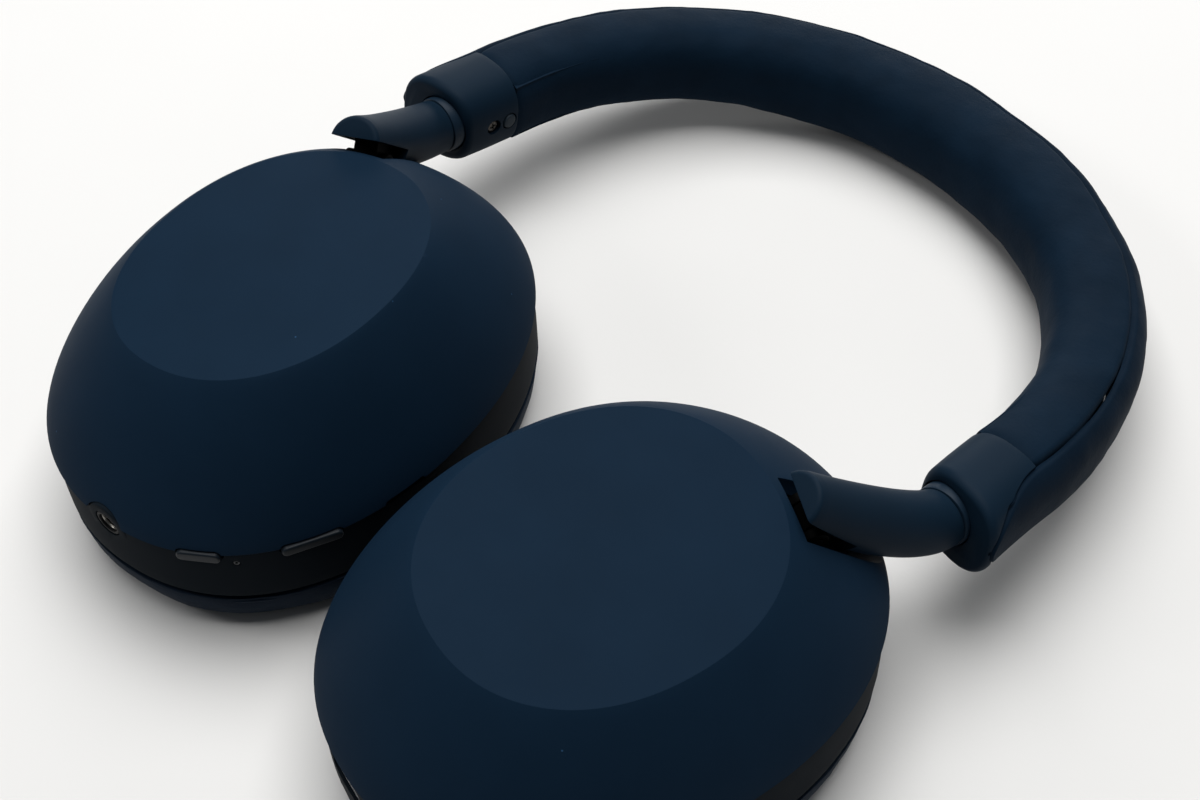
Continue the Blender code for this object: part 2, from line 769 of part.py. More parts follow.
def inner_shell(label, side, parent):
    """The cup's inner shell: an upright wall with a flange that the ear pad sits on."""
    top = PARTING_Z - GAP
    bottom = INNER_BOTTOM_Z
    rings = [
        cup_ring(1.3 * MM, bottom),
        cup_ring(0.6 * MM, bottom + 0.5 * MM),
        cup_ring(0.3 * MM, bottom + 1.6 * MM),
        cup_ring(0.3 * MM, bottom + 6 * MM),
        cup_ring(0.6 * MM, top),
        cup_ring(0.6 * MM + WALL, top),
        cup_ring(0.6 * MM + WALL, bottom + 1.8 * MM),
        oval(EAR_HALF_WIDTH + 1.5 * MM, EAR_HALF_LENGTH + 1.5 * MM, bottom + 1.8 * MM),
        oval(EAR_HALF_WIDTH + 1.5 * MM, EAR_HALF_LENGTH + 1.5 * MM, bottom),
    ]
    piece = loft("inner_shell_" + label, rings, closed=True)
    cut(piece, arm_pocket(POCKET_CLEARANCE))
    if label == "left":
        join(piece, jack_boss())
    for cutter in wall_cutters(label):
        cut(piece, cutter)
    if label == "left":
        cut(piece, apply_matrix(hole(JACK_RADIUS + GAP, 20 * MM), JACK_MATRIX))
        cut(piece, apply_matrix(hole(LED_RADIUS + 0.15 * MM, 20 * MM), LED_MATRIX))
    tidy(piece)
    paint(apply_matrix(piece, cup_matrix()), "inner_shell_" + label, SLATE, 0.5)
    return hang(mirrored(piece, side), parent)


def ear_pad(label, side, parent):
    """The soft ring round the ear, flat underneath."""
    outer = [(0.2, 4.6), (1.2, 2.2), (3.0, 0.7), (5.6, 0)]
    rings = [
        cup_ring(PAD_INSET + 0.6 * MM, PAD_TOP_Z, 32),
        cup_ring(PAD_INSET, PAD_TOP_Z - 2.0 * MM, 32),
    ]
    for inset, z in outer:
        rings.append(cup_ring(PAD_INSET + inset * MM, z * MM, 32))
    for inset, z in ((3.6, 0), (1.2, 1.6), (0, 4.6), (0.6, 7.6)):
        rings.append(oval(EAR_HALF_WIDTH + inset * MM, EAR_HALF_LENGTH + inset * MM, z * MM, count=32))
    rings.append(oval(EAR_HALF_WIDTH + 1.4 * MM, EAR_HALF_LENGTH + 1.4 * MM, PAD_TOP_Z, count=32))
    piece = loft("ear_pad_" + label, rings, closed=True)
    paint(apply_matrix(piece, cup_matrix()), "ear_pad_" + label, LEATHER, 0.6)
    return hang(mirrored(piece, side), parent)


def acoustic_scrim(label, side, parent):
    """The cloth over the driver, seen through the ear pad."""
    half_width = EAR_HALF_WIDTH + 3.5 * MM
    half_length = EAR_HALF_LENGTH + 3.5 * MM
    rings = [oval(half_width, half_length, SCRIM_Z + z, count=32) for z in (0, 0.4 * MM)]
    piece = loft("acoustic_scrim_" + label, rings)
    paint(apply_matrix(piece, cup_matrix()), "acoustic_scrim_" + label, BLACK, 0.9)
    return hang(mirrored(piece, side), parent)


def baffle(label, side, parent):
    """The plate that holds the driver and parts the front chamber from the back one."""
    inset = 0.6 * MM + WALL + GAP
    rings = [
        cup_ring(inset, BAFFLE_Z, 32),
        cup_ring(inset, BAFFLE_Z + 1.6 * MM, 32),
        circle(DRIVER_RADIUS + GAP, BAFFLE_Z + 1.6 * MM, 32),
        circle(DRIVER_RADIUS + GAP, BAFFLE_Z, 32),
    ]
    piece = loft("baffle_" + label, rings, closed=True)
    paint(apply_matrix(piece, cup_matrix()), "baffle_" + label, BLACK, 0.6)
    return hang(mirrored(piece, side), parent)


def driver(label, side, parent):
    """The 30 mm driver: basket, diaphragm and magnet."""
    z = BAFFLE_Z + 0.2 * MM
    basket = [
        circle(13.0 * MM, z),
        circle(DRIVER_RADIUS, z),
        circle(DRIVER_RADIUS, z + 3.0 * MM),
        circle(9.5 * MM, z + 6.0 * MM),
        circle(8.3 * MM, z + 6.0 * MM),
        circle(8.3 * MM, z + 5.0 * MM),
        circle(13.0 * MM, z + 2.4 * MM),
    ]
    pieces = [paint(loft("driver_basket_" + label, basket, closed=True), "driver_basket_" + label, BLACK, 0.5)]
    dome = []
    for lift in (0, 0.15 * MM):
        profile = [(6.0, 1.8), (6.2, 0.9), (9.4, 1.5), (12.7, 0.5)]
        if lift:
            profile.reverse()
        dome.extend(circle(radius * MM, z + height * MM + lift) for radius, height in profile)
    diaphragm = loft("driver_diaphragm_" + label, dome)
    pieces.append(paint(diaphragm, "driver_diaphragm_" + label, SILVER, 0.3, 0.6))
    magnet = turned("driver_magnet_" + label, [(8.0 * MM, z + 5.2 * MM), (8.0 * MM, z + 9.4 * MM)])
    pieces.append(paint(magnet, "driver_magnet_" + label, STEEL, 0.3, 1.0))
    for piece in pieces:
        apply_matrix(piece, cup_matrix())
        hang(mirrored(piece, side), parent)


def hinge_bracket(label, side, parent):
    """The fork that carries the hinge pin, rising through the pocket's floor."""
    thick = 1.6 * MM
    inner = 2.3 * MM + GAP
    base = 9.6 * MM
    half = EAR_RADIUS
    rings = []
    points = [(PIN_ALONG - half, base + 0.5 * MM)]
    for i in range(9):
        angle = math.radians(180 + 180 * i / 8)
        points.append((PIN_ALONG + half * math.cos(angle), PIN_BELOW + half * math.sin(angle)))
    points.append((PIN_ALONG + half, base + 0.5 * MM))
    for x in (inner, inner + thick):
        rings.append([Vector((x, along, -below)) for along, below in points])
    piece = loft("hinge_bracket_" + label, rings)
    other = loft("ear", [[Vector((-point.x, point.y, point.z)) for point in ring] for ring in rings])
    foot = box("foot", (12 * MM, 6.4 * MM, 1.6 * MM), (0, PIN_ALONG, -base - 0.8 * MM))
    join(join(foot, other), piece)
    foot.name = "hinge_bracket_" + label
    cut(foot, pin_cylinder("bracket_bore", PIN_RADIUS + 0.05 * MM, 20 * MM))
    apply_matrix(tidy(foot), hood_matrix())
    paint(mirrored(foot, side), "hinge_bracket_" + label, STEEL, 0.4, 1.0)
    return hang(foot, parent)


def hinge_pin(label, side, parent):
    """The pin between arm and cup."""
    piece = pin_cylinder("hinge_pin_" + label, PIN_RADIUS, 8.6 * MM)
    apply_matrix(piece, hood_matrix())
    paint(mirrored(piece, side), "hinge_pin_" + label, STEEL, 0.25, 1.0)
    return hang(piece, parent)


# ---------------------------------------------------------------- controls, sockets and electronics


def wall_frame(degrees, z, inset=0.0):
    """A matrix on the cup's wall: X along the wall, Y inwards, Z up."""
    angle = math.radians(degrees)
    direction = Vector((math.cos(angle), math.sin(angle), 0))
    half_width = CUP_HALF_WIDTH - inset
    half_length = CUP_HALF_LENGTH - inset
    reach = (abs(direction.x) / half_width) ** CUP_POWER + (abs(direction.y) / half_length) ** CUP_POWER
    place = direction * reach ** (-1 / CUP_POWER)
    outward = Vector(
        (
            signed_power(place.x / half_width, CUP_POWER - 1) / half_width,
            signed_power(place.y / half_length, CUP_POWER - 1) / half_length,
            0,
        )
    ).normalized()
    along = Vector((0, 0, 1)).cross(outward)
    matrix = Matrix((along, -outward, Vector((0, 0, 1)))).transposed().to_4x4()
    matrix.translation = Vector((place.x, place.y, z))
    return matrix


JACK_RADIUS = 2.6 * MM
JACK_MATRIX = wall_frame(-88.6, 21.4 * MM)
LED_RADIUS = 0.55 * MM
LED_MATRIX = wall_frame(-118.6, 20.4 * MM)
POWER_MATRIX = wall_frame(-111.2, 22.6 * MM)
POWER_SIZE = (7.8 * MM, 2.4 * MM)
NOISE_MATRIX = wall_frame(-135.2, 22.6 * MM)
NOISE_SIZE = (10.8 * MM, 2.2 * MM)
MIC_MATRIX = wall_frame(-159.6, 23.1 * MM)
MIC_SIZE = (8.0 * MM, 1.1 * MM)
USB_MATRIX = wall_frame(-91.0, 17.8 * MM)
USB_SIZE = (9.6 * MM, 3.8 * MM)
BUTTON_PROUD = 0.35 * MM
BUTTON_DEPTH = 2.6 * MM
BUTTON_TRAVEL = 0.5 * MM


def hole(radius, depth):
    """A cylinder along the wall frame's Y, from outside the cup inwards."""
    piece = turned("hole", [(radius, -6 * MM), (radius, depth)], 24)
    return apply_matrix(piece, Matrix.Rotation(math.radians(-90), 4, "X"))


def slot_cutter(size, matrix, depth):
    """A pill shaped opening through the wall, a little larger than what fills it."""
    clearance = 0.5 * MM
    piece = pill("slot", size[0] + clearance, size[1] + clearance, depth + 6 * MM)
    return apply_matrix(piece, matrix @ Matrix.Translation((0, -6 * MM, 0)))


def wall_cutters(label):
    """Openings that both shells share."""
    if label == "left":
        cutters = [
            slot_cutter(POWER_SIZE, POWER_MATRIX, 10 * MM),
            slot_cutter(NOISE_SIZE, NOISE_MATRIX, 10 * MM),
            slot_cutter(MIC_SIZE, MIC_MATRIX, 10 * MM),
        ]
        return cutters
    return [slot_cutter(USB_SIZE, USB_MATRIX, 8 * MM)]


def jack_boss():
    """The inner shell's raised part round the jack."""
    piece = turned("boss", [(4.4 * MM, 0.7 * MM), (4.4 * MM, 2.4 * MM)], 28)
    apply_matrix(piece, JACK_MATRIX @ Matrix.Rotation(math.radians(-90), 4, "X"))
    return piece


def jack_boss_cutter():
    piece = turned("boss_room", [(4.4 * MM + GAP, -6 * MM), (4.4 * MM + GAP, 4 * MM)], 28)
    return apply_matrix(piece, JACK_MATRIX @ Matrix.Rotation(math.radians(-90), 4, "X"))


def button(name, size, matrix, side, parent):
    """A pill shaped key with a wider foot inside the wall."""
    inside = box("foot", (size[0] + 1.2 * MM, 0.8 * MM, size[1] + 1.0 * MM), (0, 4.6 * MM, 0))
    piece = pill(name, size[0], size[1], 4.6 * MM + BUTTON_PROUD)
    apply_matrix(piece, Matrix.Translation((0, -BUTTON_PROUD, 0)))
    join(piece, inside)
    apply_matrix(tidy(piece), cup_matrix() @ matrix)
    paint(mirrored(piece, side), name, SLATE, 0.4)
    return hang(piece, parent)


def jack_socket(side, parent):
    """The headphone jack: a sleeve with a bright ring."""
    rings = [circle(radius * MM, z * MM) for radius, z in ((1.75, 0.8), (2.6, 0.8), (2.6, 12), (1.75, 12))]
    piece = loft("jack_socket", rings, closed=True)
    apply_matrix(piece, cup_matrix() @ JACK_MATRIX @ Matrix.Rotation(math.radians(-90), 4, "X"))
    paint(mirrored(piece, side), "jack_socket", BRASS, 0.3, 1.0)
    return hang(piece, parent)


def status_led(side, parent):
    """The light guide beside the power button."""
    piece = turned("status_led", [(LED_RADIUS, 0.5 * MM), (LED_RADIUS, 4.2 * MM)], 12)
    apply_matrix(piece, cup_matrix() @ LED_MATRIX @ Matrix.Rotation(math.radians(-90), 4, "X"))
    paint(mirrored(piece, side), "status_led", SILVER, 0.2)
    return hang(piece, parent)


def mic_grille(side, parent):
    """The fine grille in the microphone's slot."""
    piece = pill("mic_grille", MIC_SIZE[0], MIC_SIZE[1], 1.4 * MM)
    apply_matrix(piece, cup_matrix() @ MIC_MATRIX @ Matrix.Translation((0, 1.0 * MM, 0)))
    paint(mirrored(piece, side), "mic_grille", BLACK, 0.5, 0.5)
    return hang(piece, parent)


def usb_socket(side, parent):
    """The charging socket: a pill shaped sleeve with a contact tongue."""
    length, height = USB_SIZE
    wall = 0.45 * MM
    piece = pill("usb_socket", length, height, 7.0 * MM)
    inside = pill("inside", length - 2 * wall, height - 2 * wall, 6.6 * MM)
    cut(piece, apply_matrix(inside, Matrix.Translation((0, -1 * MM, 0))))
    join(piece, box("tongue", (6.4 * MM, 5.4 * MM, 0.7 * MM), (0, 3.4 * MM, 0)))
    apply_matrix(tidy(piece), cup_matrix() @ USB_MATRIX @ Matrix.Translation((0, 0.9 * MM, 0)))
    paint(mirrored(piece, side), "usb_socket", STEEL, 0.3, 1.0)
    return hang(piece, parent)


def flat_part(name, size, centre, look, side, parent):
    """A plain block inside a cup, such as a board or a battery, in the cup's axes."""
    piece = box(name, size, centre, look.get("bevel", 0))
    apply_matrix(piece, cup_matrix())
    paint(mirrored(piece, side), name, look["colour"], look["roughness"], look.get("metallic", 0))
    return hang(piece, parent)


def board(name, z, side, parent):
    """A round-ended circuit board under the outer shell's face."""
    piece = loft(name, [oval(17 * MM, 25 * MM, z + lift, count=28, centre=(-1 * MM, -8 * MM)) for lift in (0, 1 * MM)])
    apply_matrix(piece, cup_matrix())
    paint(mirrored(piece, side), name, GREEN, 0.5)
    return hang(piece, parent)


def left_fittings(side, cup, power, noise):
    button("power_button", POWER_SIZE, POWER_MATRIX, side, power)
    button("noise_button", NOISE_SIZE, NOISE_MATRIX, side, noise)
    jack_socket(side, cup)
    status_led(side, cup)
    mic_grille(side, cup)
    board("main_board", 30 * MM, side, cup)
    look = {"colour": GREEN, "roughness": 0.5}
    flat_part("button_board", (18 * MM, 3 * MM, 1 * MM), (-14 * MM, -31 * MM, 16.8 * MM), look, side, cup)


def right_fittings(side, cup):
    usb_socket(side, cup)
    board("charge_board", 26 * MM, side, cup)
    look = {"colour": SILVER, "roughness": 0.4, "bevel": 1.2 * MM}
    flat_part("battery_pack", (26 * MM, 34 * MM, 7 * MM), (-1 * MM, -8 * MM, 31.5 * MM), look, side, cup)
    rings = [face_ring(8 * MM, drop) for drop in (2.4 * MM, 2.8 * MM)]
    piece = apply_matrix(loft("touch_sensor", rings), cup_matrix())
    paint(mirrored(piece, side), "touch_sensor", BRASS, 0.4)
    hang(piece, cup)


# ---------------------------------------------------------------- assembly


def side_assembly(label, side):
    """One slider, arm and cup, each hanging from the empty on its joint's axis."""
    root = empty("headband_root_" + label, (0, 0, 0))
    slide = hang(empty("slide_" + label, stem_point(CAP_END_Y, side)), root)
    swivel = hang(empty("swivel_" + label, stem_point(ARM_START_Y, side)), slide)
    tilt = hang(empty("tilt_" + label, pin_centre(side)), swivel)
    slider(label, side, slide)
    arm(label, side, swivel)
    hinge_knuckle(label, side, swivel)
    for make in (outer_shell, inner_shell, ear_pad, acoustic_scrim, baffle, driver, hinge_bracket, hinge_pin):
        make(label, side, tilt)
    return tilt


def main():
    for old in list(bpy.data.objects):
        bpy.data.objects.remove(old)
    headband()
    left_cup = side_assembly("left", SIDES["left"])
    right_cup = side_assembly("right", SIDES["right"])
    power = hang(empty("press_power", left_cup.location), left_cup)
    noise = hang(empty("press_noise", left_cup.location), left_cup)
    left_fittings(SIDES["left"], left_cup, power, noise)
    right_fittings(SIDES["right"], right_cup)


main()
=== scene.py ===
"""Looks for folding over ear headphones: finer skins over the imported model, materials, light and camera.

Units are metres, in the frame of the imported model. +X is the side of the right cup and +Z is up.
"""

import math

import bmesh
import bpy
from mathutils import Matrix, Vector, noise

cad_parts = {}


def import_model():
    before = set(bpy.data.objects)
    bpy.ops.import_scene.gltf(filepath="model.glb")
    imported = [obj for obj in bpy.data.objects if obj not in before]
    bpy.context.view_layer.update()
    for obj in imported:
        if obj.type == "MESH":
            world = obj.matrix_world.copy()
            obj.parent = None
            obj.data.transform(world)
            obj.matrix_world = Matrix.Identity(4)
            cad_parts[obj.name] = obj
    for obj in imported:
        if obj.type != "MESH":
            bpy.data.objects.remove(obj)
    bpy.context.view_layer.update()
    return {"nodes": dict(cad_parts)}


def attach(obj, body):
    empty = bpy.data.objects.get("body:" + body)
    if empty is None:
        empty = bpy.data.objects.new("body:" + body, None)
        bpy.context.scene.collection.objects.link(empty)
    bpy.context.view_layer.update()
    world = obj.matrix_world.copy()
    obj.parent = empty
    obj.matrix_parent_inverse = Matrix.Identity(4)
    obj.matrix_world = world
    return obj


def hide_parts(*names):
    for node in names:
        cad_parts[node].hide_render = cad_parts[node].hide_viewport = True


MM = 0.001
GAP = 0.3 * MM  # clearance between neighbouring pieces
FULL_TURN = 2 * math.pi
QUARTER_TURN = 0.5 * math.pi
SIDES = {"left": -1, "right": 1}

# Cups, in the cup's own axes: x across, y along its length towards the headband, z up to its face.
CUP_CENTRE = Vector((40.3 * MM, -48.8 * MM, 0))
CUP_TURN = math.radians(10.9)
CUP_HALF_WIDTH = 38.2 * MM
CUP_HALF_LENGTH = 47.3 * MM
CUP_POWER = 2.15
CUP_SEGMENTS = 160

FACE_CENTRE = Vector((0.8 * MM, -0.2 * MM, 45.3 * MM))
FACE_HALF_WIDTH = 24.1 * MM
FACE_HALF_LENGTH = 29.2 * MM
FACE_TILT_OUT = math.tan(math.radians(6.3))
FACE_TILT_TOP = math.tan(math.radians(1.0))

PARTING_Z = 23.1 * MM
INNER_BOTTOM_Z = 9.8 * MM
WALL = 2.0 * MM
SLOPE_START = 1.1
SLOPE_END = 1.25

PAD_TOP_Z = 9.4 * MM
EAR_HALF_WIDTH = 19.5 * MM
EAR_HALF_LENGTH = 29.5 * MM
FLANGE_INSET = 1.5 * MM
FLANGE_THICK = 1.8 * MM
LINER_INSET = 0.6 * MM
PIPING_RADIUS = 0.42 * MM

# Waves in soft pieces, largest first: size and height.
BAND_WAVES = ((16 * MM, 0.32 * MM), (5 * MM, 0.10 * MM))
PAD_WAVES = ((9 * MM, 0.22 * MM), (3.2 * MM, 0.06 * MM))

# Headband, whose plane slopes down from the arms to the table.
STEM_X = 64.2 * MM
STEM_Y = 6.0 * MM
STEM_Z = 24.2 * MM
BAND_SLOPE = 0.1796
BAND_HALF_WIDTH = 65.7 * MM
BAND_BEND_Y = 22.1 * MM
BAND_RISE = 64.2 * MM
BAND_POWER = 2.08
BAND_STATIONS = 150
LEG_FLARE = 0.7 * MM
LEG_LENGTH = 16.0 * MM
LEG_HALF_THICK = 8.7 * MM
LEG_HALF_HEIGHT = 8.5 * MM
APEX_HALF_THICK = 9.6 * MM
APEX_HALF_HEIGHT = 9.5 * MM
SECTION_POWER = 2.5

CAP_END_Y = 6.6 * MM
CAP_SLANT = 2.6 * MM
CAP_SEAM_Y = 18.8 * MM
TONGUE_TIP_Y = 4.6 * MM
TONGUE_GAP = 0.25 * MM
COVER_SHARE = 0.9
COVER_THICK = 2.2 * MM
CHANNEL_HALF = 6.0 * MM
CHANNEL_DEPTH_LEG = 7.3 * MM
CHANNEL_DEPTH_APEX = 3.0 * MM
SEAM_DEPTH = 0.9 * MM  # how far the padding dips into the seam beside the strip
SEAM_WIDTH = 0.5 * MM
STRIP_DIP_DEPTH = 0.75 * MM
STRIP_DIP_WIDTH = 0.45 * MM
LIP_WIDTH = 1.0 * MM  # how far the padding reaches in under the strip
LIP_DROP = 0.3 * MM
END_DRAW = 0.55 * MM  # how far the padding is drawn in beside the hard caps
END_DRAW_REACH = 0.8 * MM
CAP_EDGE_ROUND = 1.3 * MM
CAP_EDGE_SHARE = 0.12
SCREW_Y = 12.8 * MM
MARKER_Y = 16.6 * MM
CAP_HOLES = ((SCREW_Y, 1.6 * MM, 1.2 * MM), (MARKER_Y, 1.75 * MM, 0.8 * MM))  # y, radius, depth

# Sliders and arms.
COLLAR_RADIUS = 5.5 * MM
ROD_RADIUS = 4.4 * MM
GUIDE_RADIUS = 5.3 * MM
SPIGOT_RADIUS = 3.6 * MM
ROD_END_Y = 34.8 * MM
ARM_START_Y = 4.1 * MM
ARM_RADIUS = 5.2 * MM
ARM_MID_RADIUS = 5.5 * MM
ARM_END_RADIUS = 4.9 * MM
ARM_WALL = 1.2 * MM
ARM_EDGE_ROUND = 0.9 * MM
ARM_END = Vector((54.25 * MM, -21.4 * MM, 44.5 * MM))
ARM_END_ALONG = Vector((0.25, 0.61, -0.75)).normalized()
ARM_END_HANDLE = 9.0 * MM
ARM_START_HANDLE = 6.0 * MM
ARM_STATIONS = 44
ARM_SEGMENTS = 64
HOOD_LENGTH = 13.0 * MM
HOOD_RISE = 0.9 * MM
POCKET_CLEARANCE = 1.1 * MM
POCKET_WALL = 1.6 * MM
POCKET_SETBACK = 0.15 * MM

# The hinge between arm and cup: along the arm from its end face, and below its centre line.
PIN_ALONG = 7.6 * MM
PIN_BELOW = 2.8 * MM
PIN_RADIUS = 1.0 * MM
EAR_RADIUS = 2.1 * MM
EAR_THICK = 1.6 * MM
KNUCKLE_HALF_WIDTH = 2.3 * MM
KNUCKLE_TOP = 2.4 * MM
BRACKET_BASE = 9.6 * MM

# Camera: where it stands and the way it is turned.
CAMERA_PLACE = Vector((163.15 * MM, -155.08 * MM, 288.08 * MM))
CAMERA_RIGHT = Vector((0.6813, 0.7316, -0.0252))
CAMERA_UP = Vector((-0.5657, 0.5479, 0.6163))
CAMERA_LENS = 58.18

# Colours are linear.
NAVY = (0.0050, 0.0150, 0.0310)
NAVY_TRIM = (0.0046, 0.0130, 0.0250)
NAVY_COLLAR = (0.0062, 0.0160, 0.0300)
SLATE = (0.0052, 0.0082, 0.0118)
KEY_SLATE = (0.0055, 0.0090, 0.0135)
BAND_LEATHER = (0.0034, 0.0105, 0.0215)
STRIP_LEATHER = (0.0030, 0.0090, 0.0185)
PAD_LEATHER = (0.0040, 0.0105, 0.0220)
BLACK = (0.0040, 0.0042, 0.0046)
# Near black for the hinge knuckle and bracket, darker than their own black plastic and steel: painted
# shade standing in for the shadow inside the arm's pocket.
HINGE_PAINTED_POCKET_SHADE = (0.0009, 0.0010, 0.0012)
FLOOR = (0.655, 0.655, 0.652)
WORLD_COLOUR = (0.90, 0.95, 1.0, 1)
WORLD_STRENGTH = 0.10
FLOOR_HALF_SIZE = 3.0
FLOOR_DROP = 0.05 * MM

# Name, place, target, size in metres, power in watts and colour.
LIGHTS = (
    ("key", (-0.30, 0.30, 1.5), (0, 0, 0), (1.5, 1.5), 38.5, (1.0, 0.99, 0.975)),
    ("side", (-0.95, -0.85, 0.95), (0, 0, 0), (0.4, 0.4), 3.5, (1.0, 0.99, 0.98)),
    ("low_back", (-0.9, 1.1, 0.3), (0, 0, 0.03), (1.4, 0.4), 9.0, (1.0, 0.99, 0.97)),
)


# ---------------------------------------------------------------- mesh helpers


def link(name, bm, smooth_angle=35):
    """Turns a bmesh into a linked object with faces pointing out."""
    bmesh.ops.remove_doubles(bm, verts=bm.verts, dist=1e-6)
    bmesh.ops.recalc_face_normals(bm, faces=bm.faces)
    mesh = bpy.data.meshes.new(name)
    bm.to_mesh(mesh)
    bm.free()
    mesh.shade_smooth()
    mesh.set_sharp_from_angle(angle=math.radians(smooth_angle))
    piece = bpy.data.objects.new(name, mesh)
    bpy.context.scene.collection.objects.link(piece)
    return piece


def loft(name, rings, closed=False, smooth_angle=35):
    """Joins rings of points with quads. The ends get flat caps, unless the last ring meets the first."""
    bm = bmesh.new()
    rows = [[bm.verts.new(point) for point in ring] for ring in rings]
    pairs = list(zip(rows, rows[1:]))
    if closed:
        pairs.append((rows[-1], rows[0]))
    for low, high in pairs:
        count = len(low)
        for i in range(count):
            j = (i + 1) % count
            bm.faces.new((low[i], low[j], high[j], high[i]))
    if not closed:
        bm.faces.new(rows[0])
        bm.faces.new(rows[-1])
    return link(name, bm, smooth_angle)


def spread(start, end, count):
    """Even steps from start to end, both included."""
    return [start + (end - start) * i / count for i in range(count + 1)]


def round_edge(radius, count):
    """Steps of a quarter round edge: how far in, and how far along."""
    angles = spread(0, QUARTER_TURN, count)
    return [(radius * (1 - math.sin(angle)), radius * (1 - math.cos(angle))) for angle in angles]


def in_mm(pairs):
    return [(a * MM, b * MM) for a, b in pairs]


def signed_power(value, power):
    return math.copysign(abs(value) ** power, value)


def oval(half_x, half_y, z, power=CUP_POWER, count=CUP_SEGMENTS, centre=(0, 0)):
    """A ring of points on a superellipse at height z."""
    ring = []
    for angle in spread(0, FULL_TURN, count)[:-1]:
        x = centre[0] + half_x * signed_power(math.cos(angle), 2 / power)
        y = centre[1] + half_y * signed_power(math.sin(angle), 2 / power)
        ring.append(Vector((x, y, z)))
    return ring


def cup_ring(inset, z):
    """The cup's outline, moved in by inset, at height z."""
    return oval(CUP_HALF_WIDTH - inset, CUP_HALF_LENGTH - inset, z)


def circle(radius, z, count=64):
    return oval(radius, radius, z, power=2, count=count)


def turned(name, profile, count=64):
    """A solid of revolution about Z from (radius, z) points, listed from one end to the other."""
    return loft(name, [circle(radius, z, count) for radius, z in profile])


def box(name, size, centre=(0, 0, 0), bevel=0.0):
    """A block, with its edges rounded off where bevel is given."""
    bm = bmesh.new()
    bmesh.ops.create_cube(bm, size=1)
    for vert in bm.verts:
        vert.co = Vector(vert.co[i] * size[i] + centre[i] for i in range(3))
    if bevel:
        bmesh.ops.bevel(bm, geom=bm.edges[:], offset=bevel, segments=3, affect="EDGES", profile=0.5)
    return link(name, bm)


def pill_ring(length, height, y):
    """A ring with round ends, long in X and tall in Z, at y."""
    ring = []
    for start, sign in ((-90, 1), (90, -1)):
        for degrees in spread(start, start + 180, 20):
            angle = math.radians(degrees)
            x = sign * (length - height) / 2 + height / 2 * math.cos(angle)
            ring.append(Vector((x, y, height / 2 * math.sin(angle))))
    return ring


def pill(name, length, height, depth, rounding=0.0):
    """A bar with round ends, from y = 0 to y = depth, whose edge at y = 0 may be rounded."""
    edge = round_edge(rounding, 6)[:-1] if rounding else []
    rings = [pill_ring(length - 2 * inset, height - 2 * inset, y) for inset, y in edge]
    rings.append(pill_ring(length, height, rounding))
    rings.append(pill_ring(length, height, depth))
    return loft(name, rings)


def mirrored(piece, side):
    """Flips a piece made for the right side over to the left."""
    if side < 0:
        piece.data.transform(Matrix.Diagonal((-1, 1, 1, 1)))
        piece.data.flip_normals()
    return piece


def apply_matrix(piece, matrix):
    piece.data.transform(matrix)
    return piece


def axes_matrix(x_axis, y_axis, z_axis, origin):
    """The matrix with those three axes and that origin."""
    matrix = Matrix((x_axis, y_axis, z_axis)).transposed().to_4x4()
    matrix.translation = origin
    return matrix


def placed(piece, matrix, side):
    """Moves a piece to its place on the right side, and flips it over for the left."""
    return mirrored(apply_matrix(piece, matrix), side)


def apply_modifiers(piece):
    """Puts the result of a piece's modifiers in place of its mesh."""
    graph = bpy.context.evaluated_depsgraph_get()
    result = bpy.data.meshes.new_from_object(piece.evaluated_get(graph))
    piece.modifiers.clear()
    old = piece.data
    piece.data = result
    bpy.data.meshes.remove(old)


def boolean(piece, cutter, operation):
    """Applies a Boolean at once and removes the other object."""
    modifier = piece.modifiers.new(operation.lower(), "BOOLEAN")
    modifier.operation = operation
    modifier.solver = "EXACT"
    modifier.object = cutter
    apply_modifiers(piece)
    bpy.data.objects.remove(cutter)
    return piece


def cut(piece, cutter):
    return boolean(piece, cutter, "DIFFERENCE")


def join(piece, other):
    return boolean(piece, other, "UNION")


def tidy(piece, bevel=0.0, smooth_angle=35):
    """Welds what a Boolean left split, rounds sharp edges off and shades the result again."""
    bm = bmesh.new()
    bm.from_mesh(piece.data)
    bmesh.ops.remove_doubles(bm, verts=bm.verts, dist=0.01 * MM)
    bmesh.ops.dissolve_degenerate(bm, edges=bm.edges, dist=0.004 * MM)
    bm.to_mesh(piece.data)
    bm.free()
    if bevel:
        modifier = piece.modifiers.new("bevel", "BEVEL")
        modifier.width = bevel
        modifier.segments = 3
        modifier.limit_method = "ANGLE"
        modifier.angle_limit = math.radians(40)
        modifier.harden_normals = False
        apply_modifiers(piece)
    piece.data.shade_smooth()
    piece.data.set_sharp_from_angle(angle=math.radians(smooth_angle))
    return piece


def spline_rings(rings, steps):
    """A closed Catmull-Rom curve through each vertex's places in a loop of rings."""
    made = []
    count = len(rings)
    for i in range(count):
        before, here, after, last = (rings[(i + k) % count] for k in (-1, 0, 1, 2))
        for step in range(steps):
            t = step / steps
            ring = []
            for a, b, c, d in zip(before, here, after, last):
                point = 2 * b + (c - a) * t + (2 * a - 5 * b + 4 * c - d) * t**2
                ring.append((point + (3 * b - a - 3 * c + d) * t**3) / 2)
            made.append(ring)
    return made


def undulate(piece, waves, share=None):
    """Moves a soft piece's vertices along their normals by smooth noise, one wave after another."""
    for size, height in waves:
        normals = [vert.normal.copy() for vert in piece.data.vertices]
        for vert, normal in zip(piece.data.vertices, normals):
            amount = noise.fractal(vert.co / size, 0.9, 2.0, 3) * height
            if share:
                amount *= share(vert.co)
            vert.co += normal * amount
    return piece


# ---------------------------------------------------------------- headband


def stem_direction():
    """From the arm into the headband, in the headband's plane."""
    return Vector((0, 1, -BAND_SLOPE)).normalized()


def plane_height(y):
    """Height of the headband's middle plane."""
    return STEM_Z - BAND_SLOPE * (y - STEM_Y)


def plane_normal():
    return Vector((0, BAND_SLOPE, 1)).normalized()


def stem_point(y):
    """The point of the right slider's axis at y."""
    return Vector((STEM_X, y, plane_height(y)))


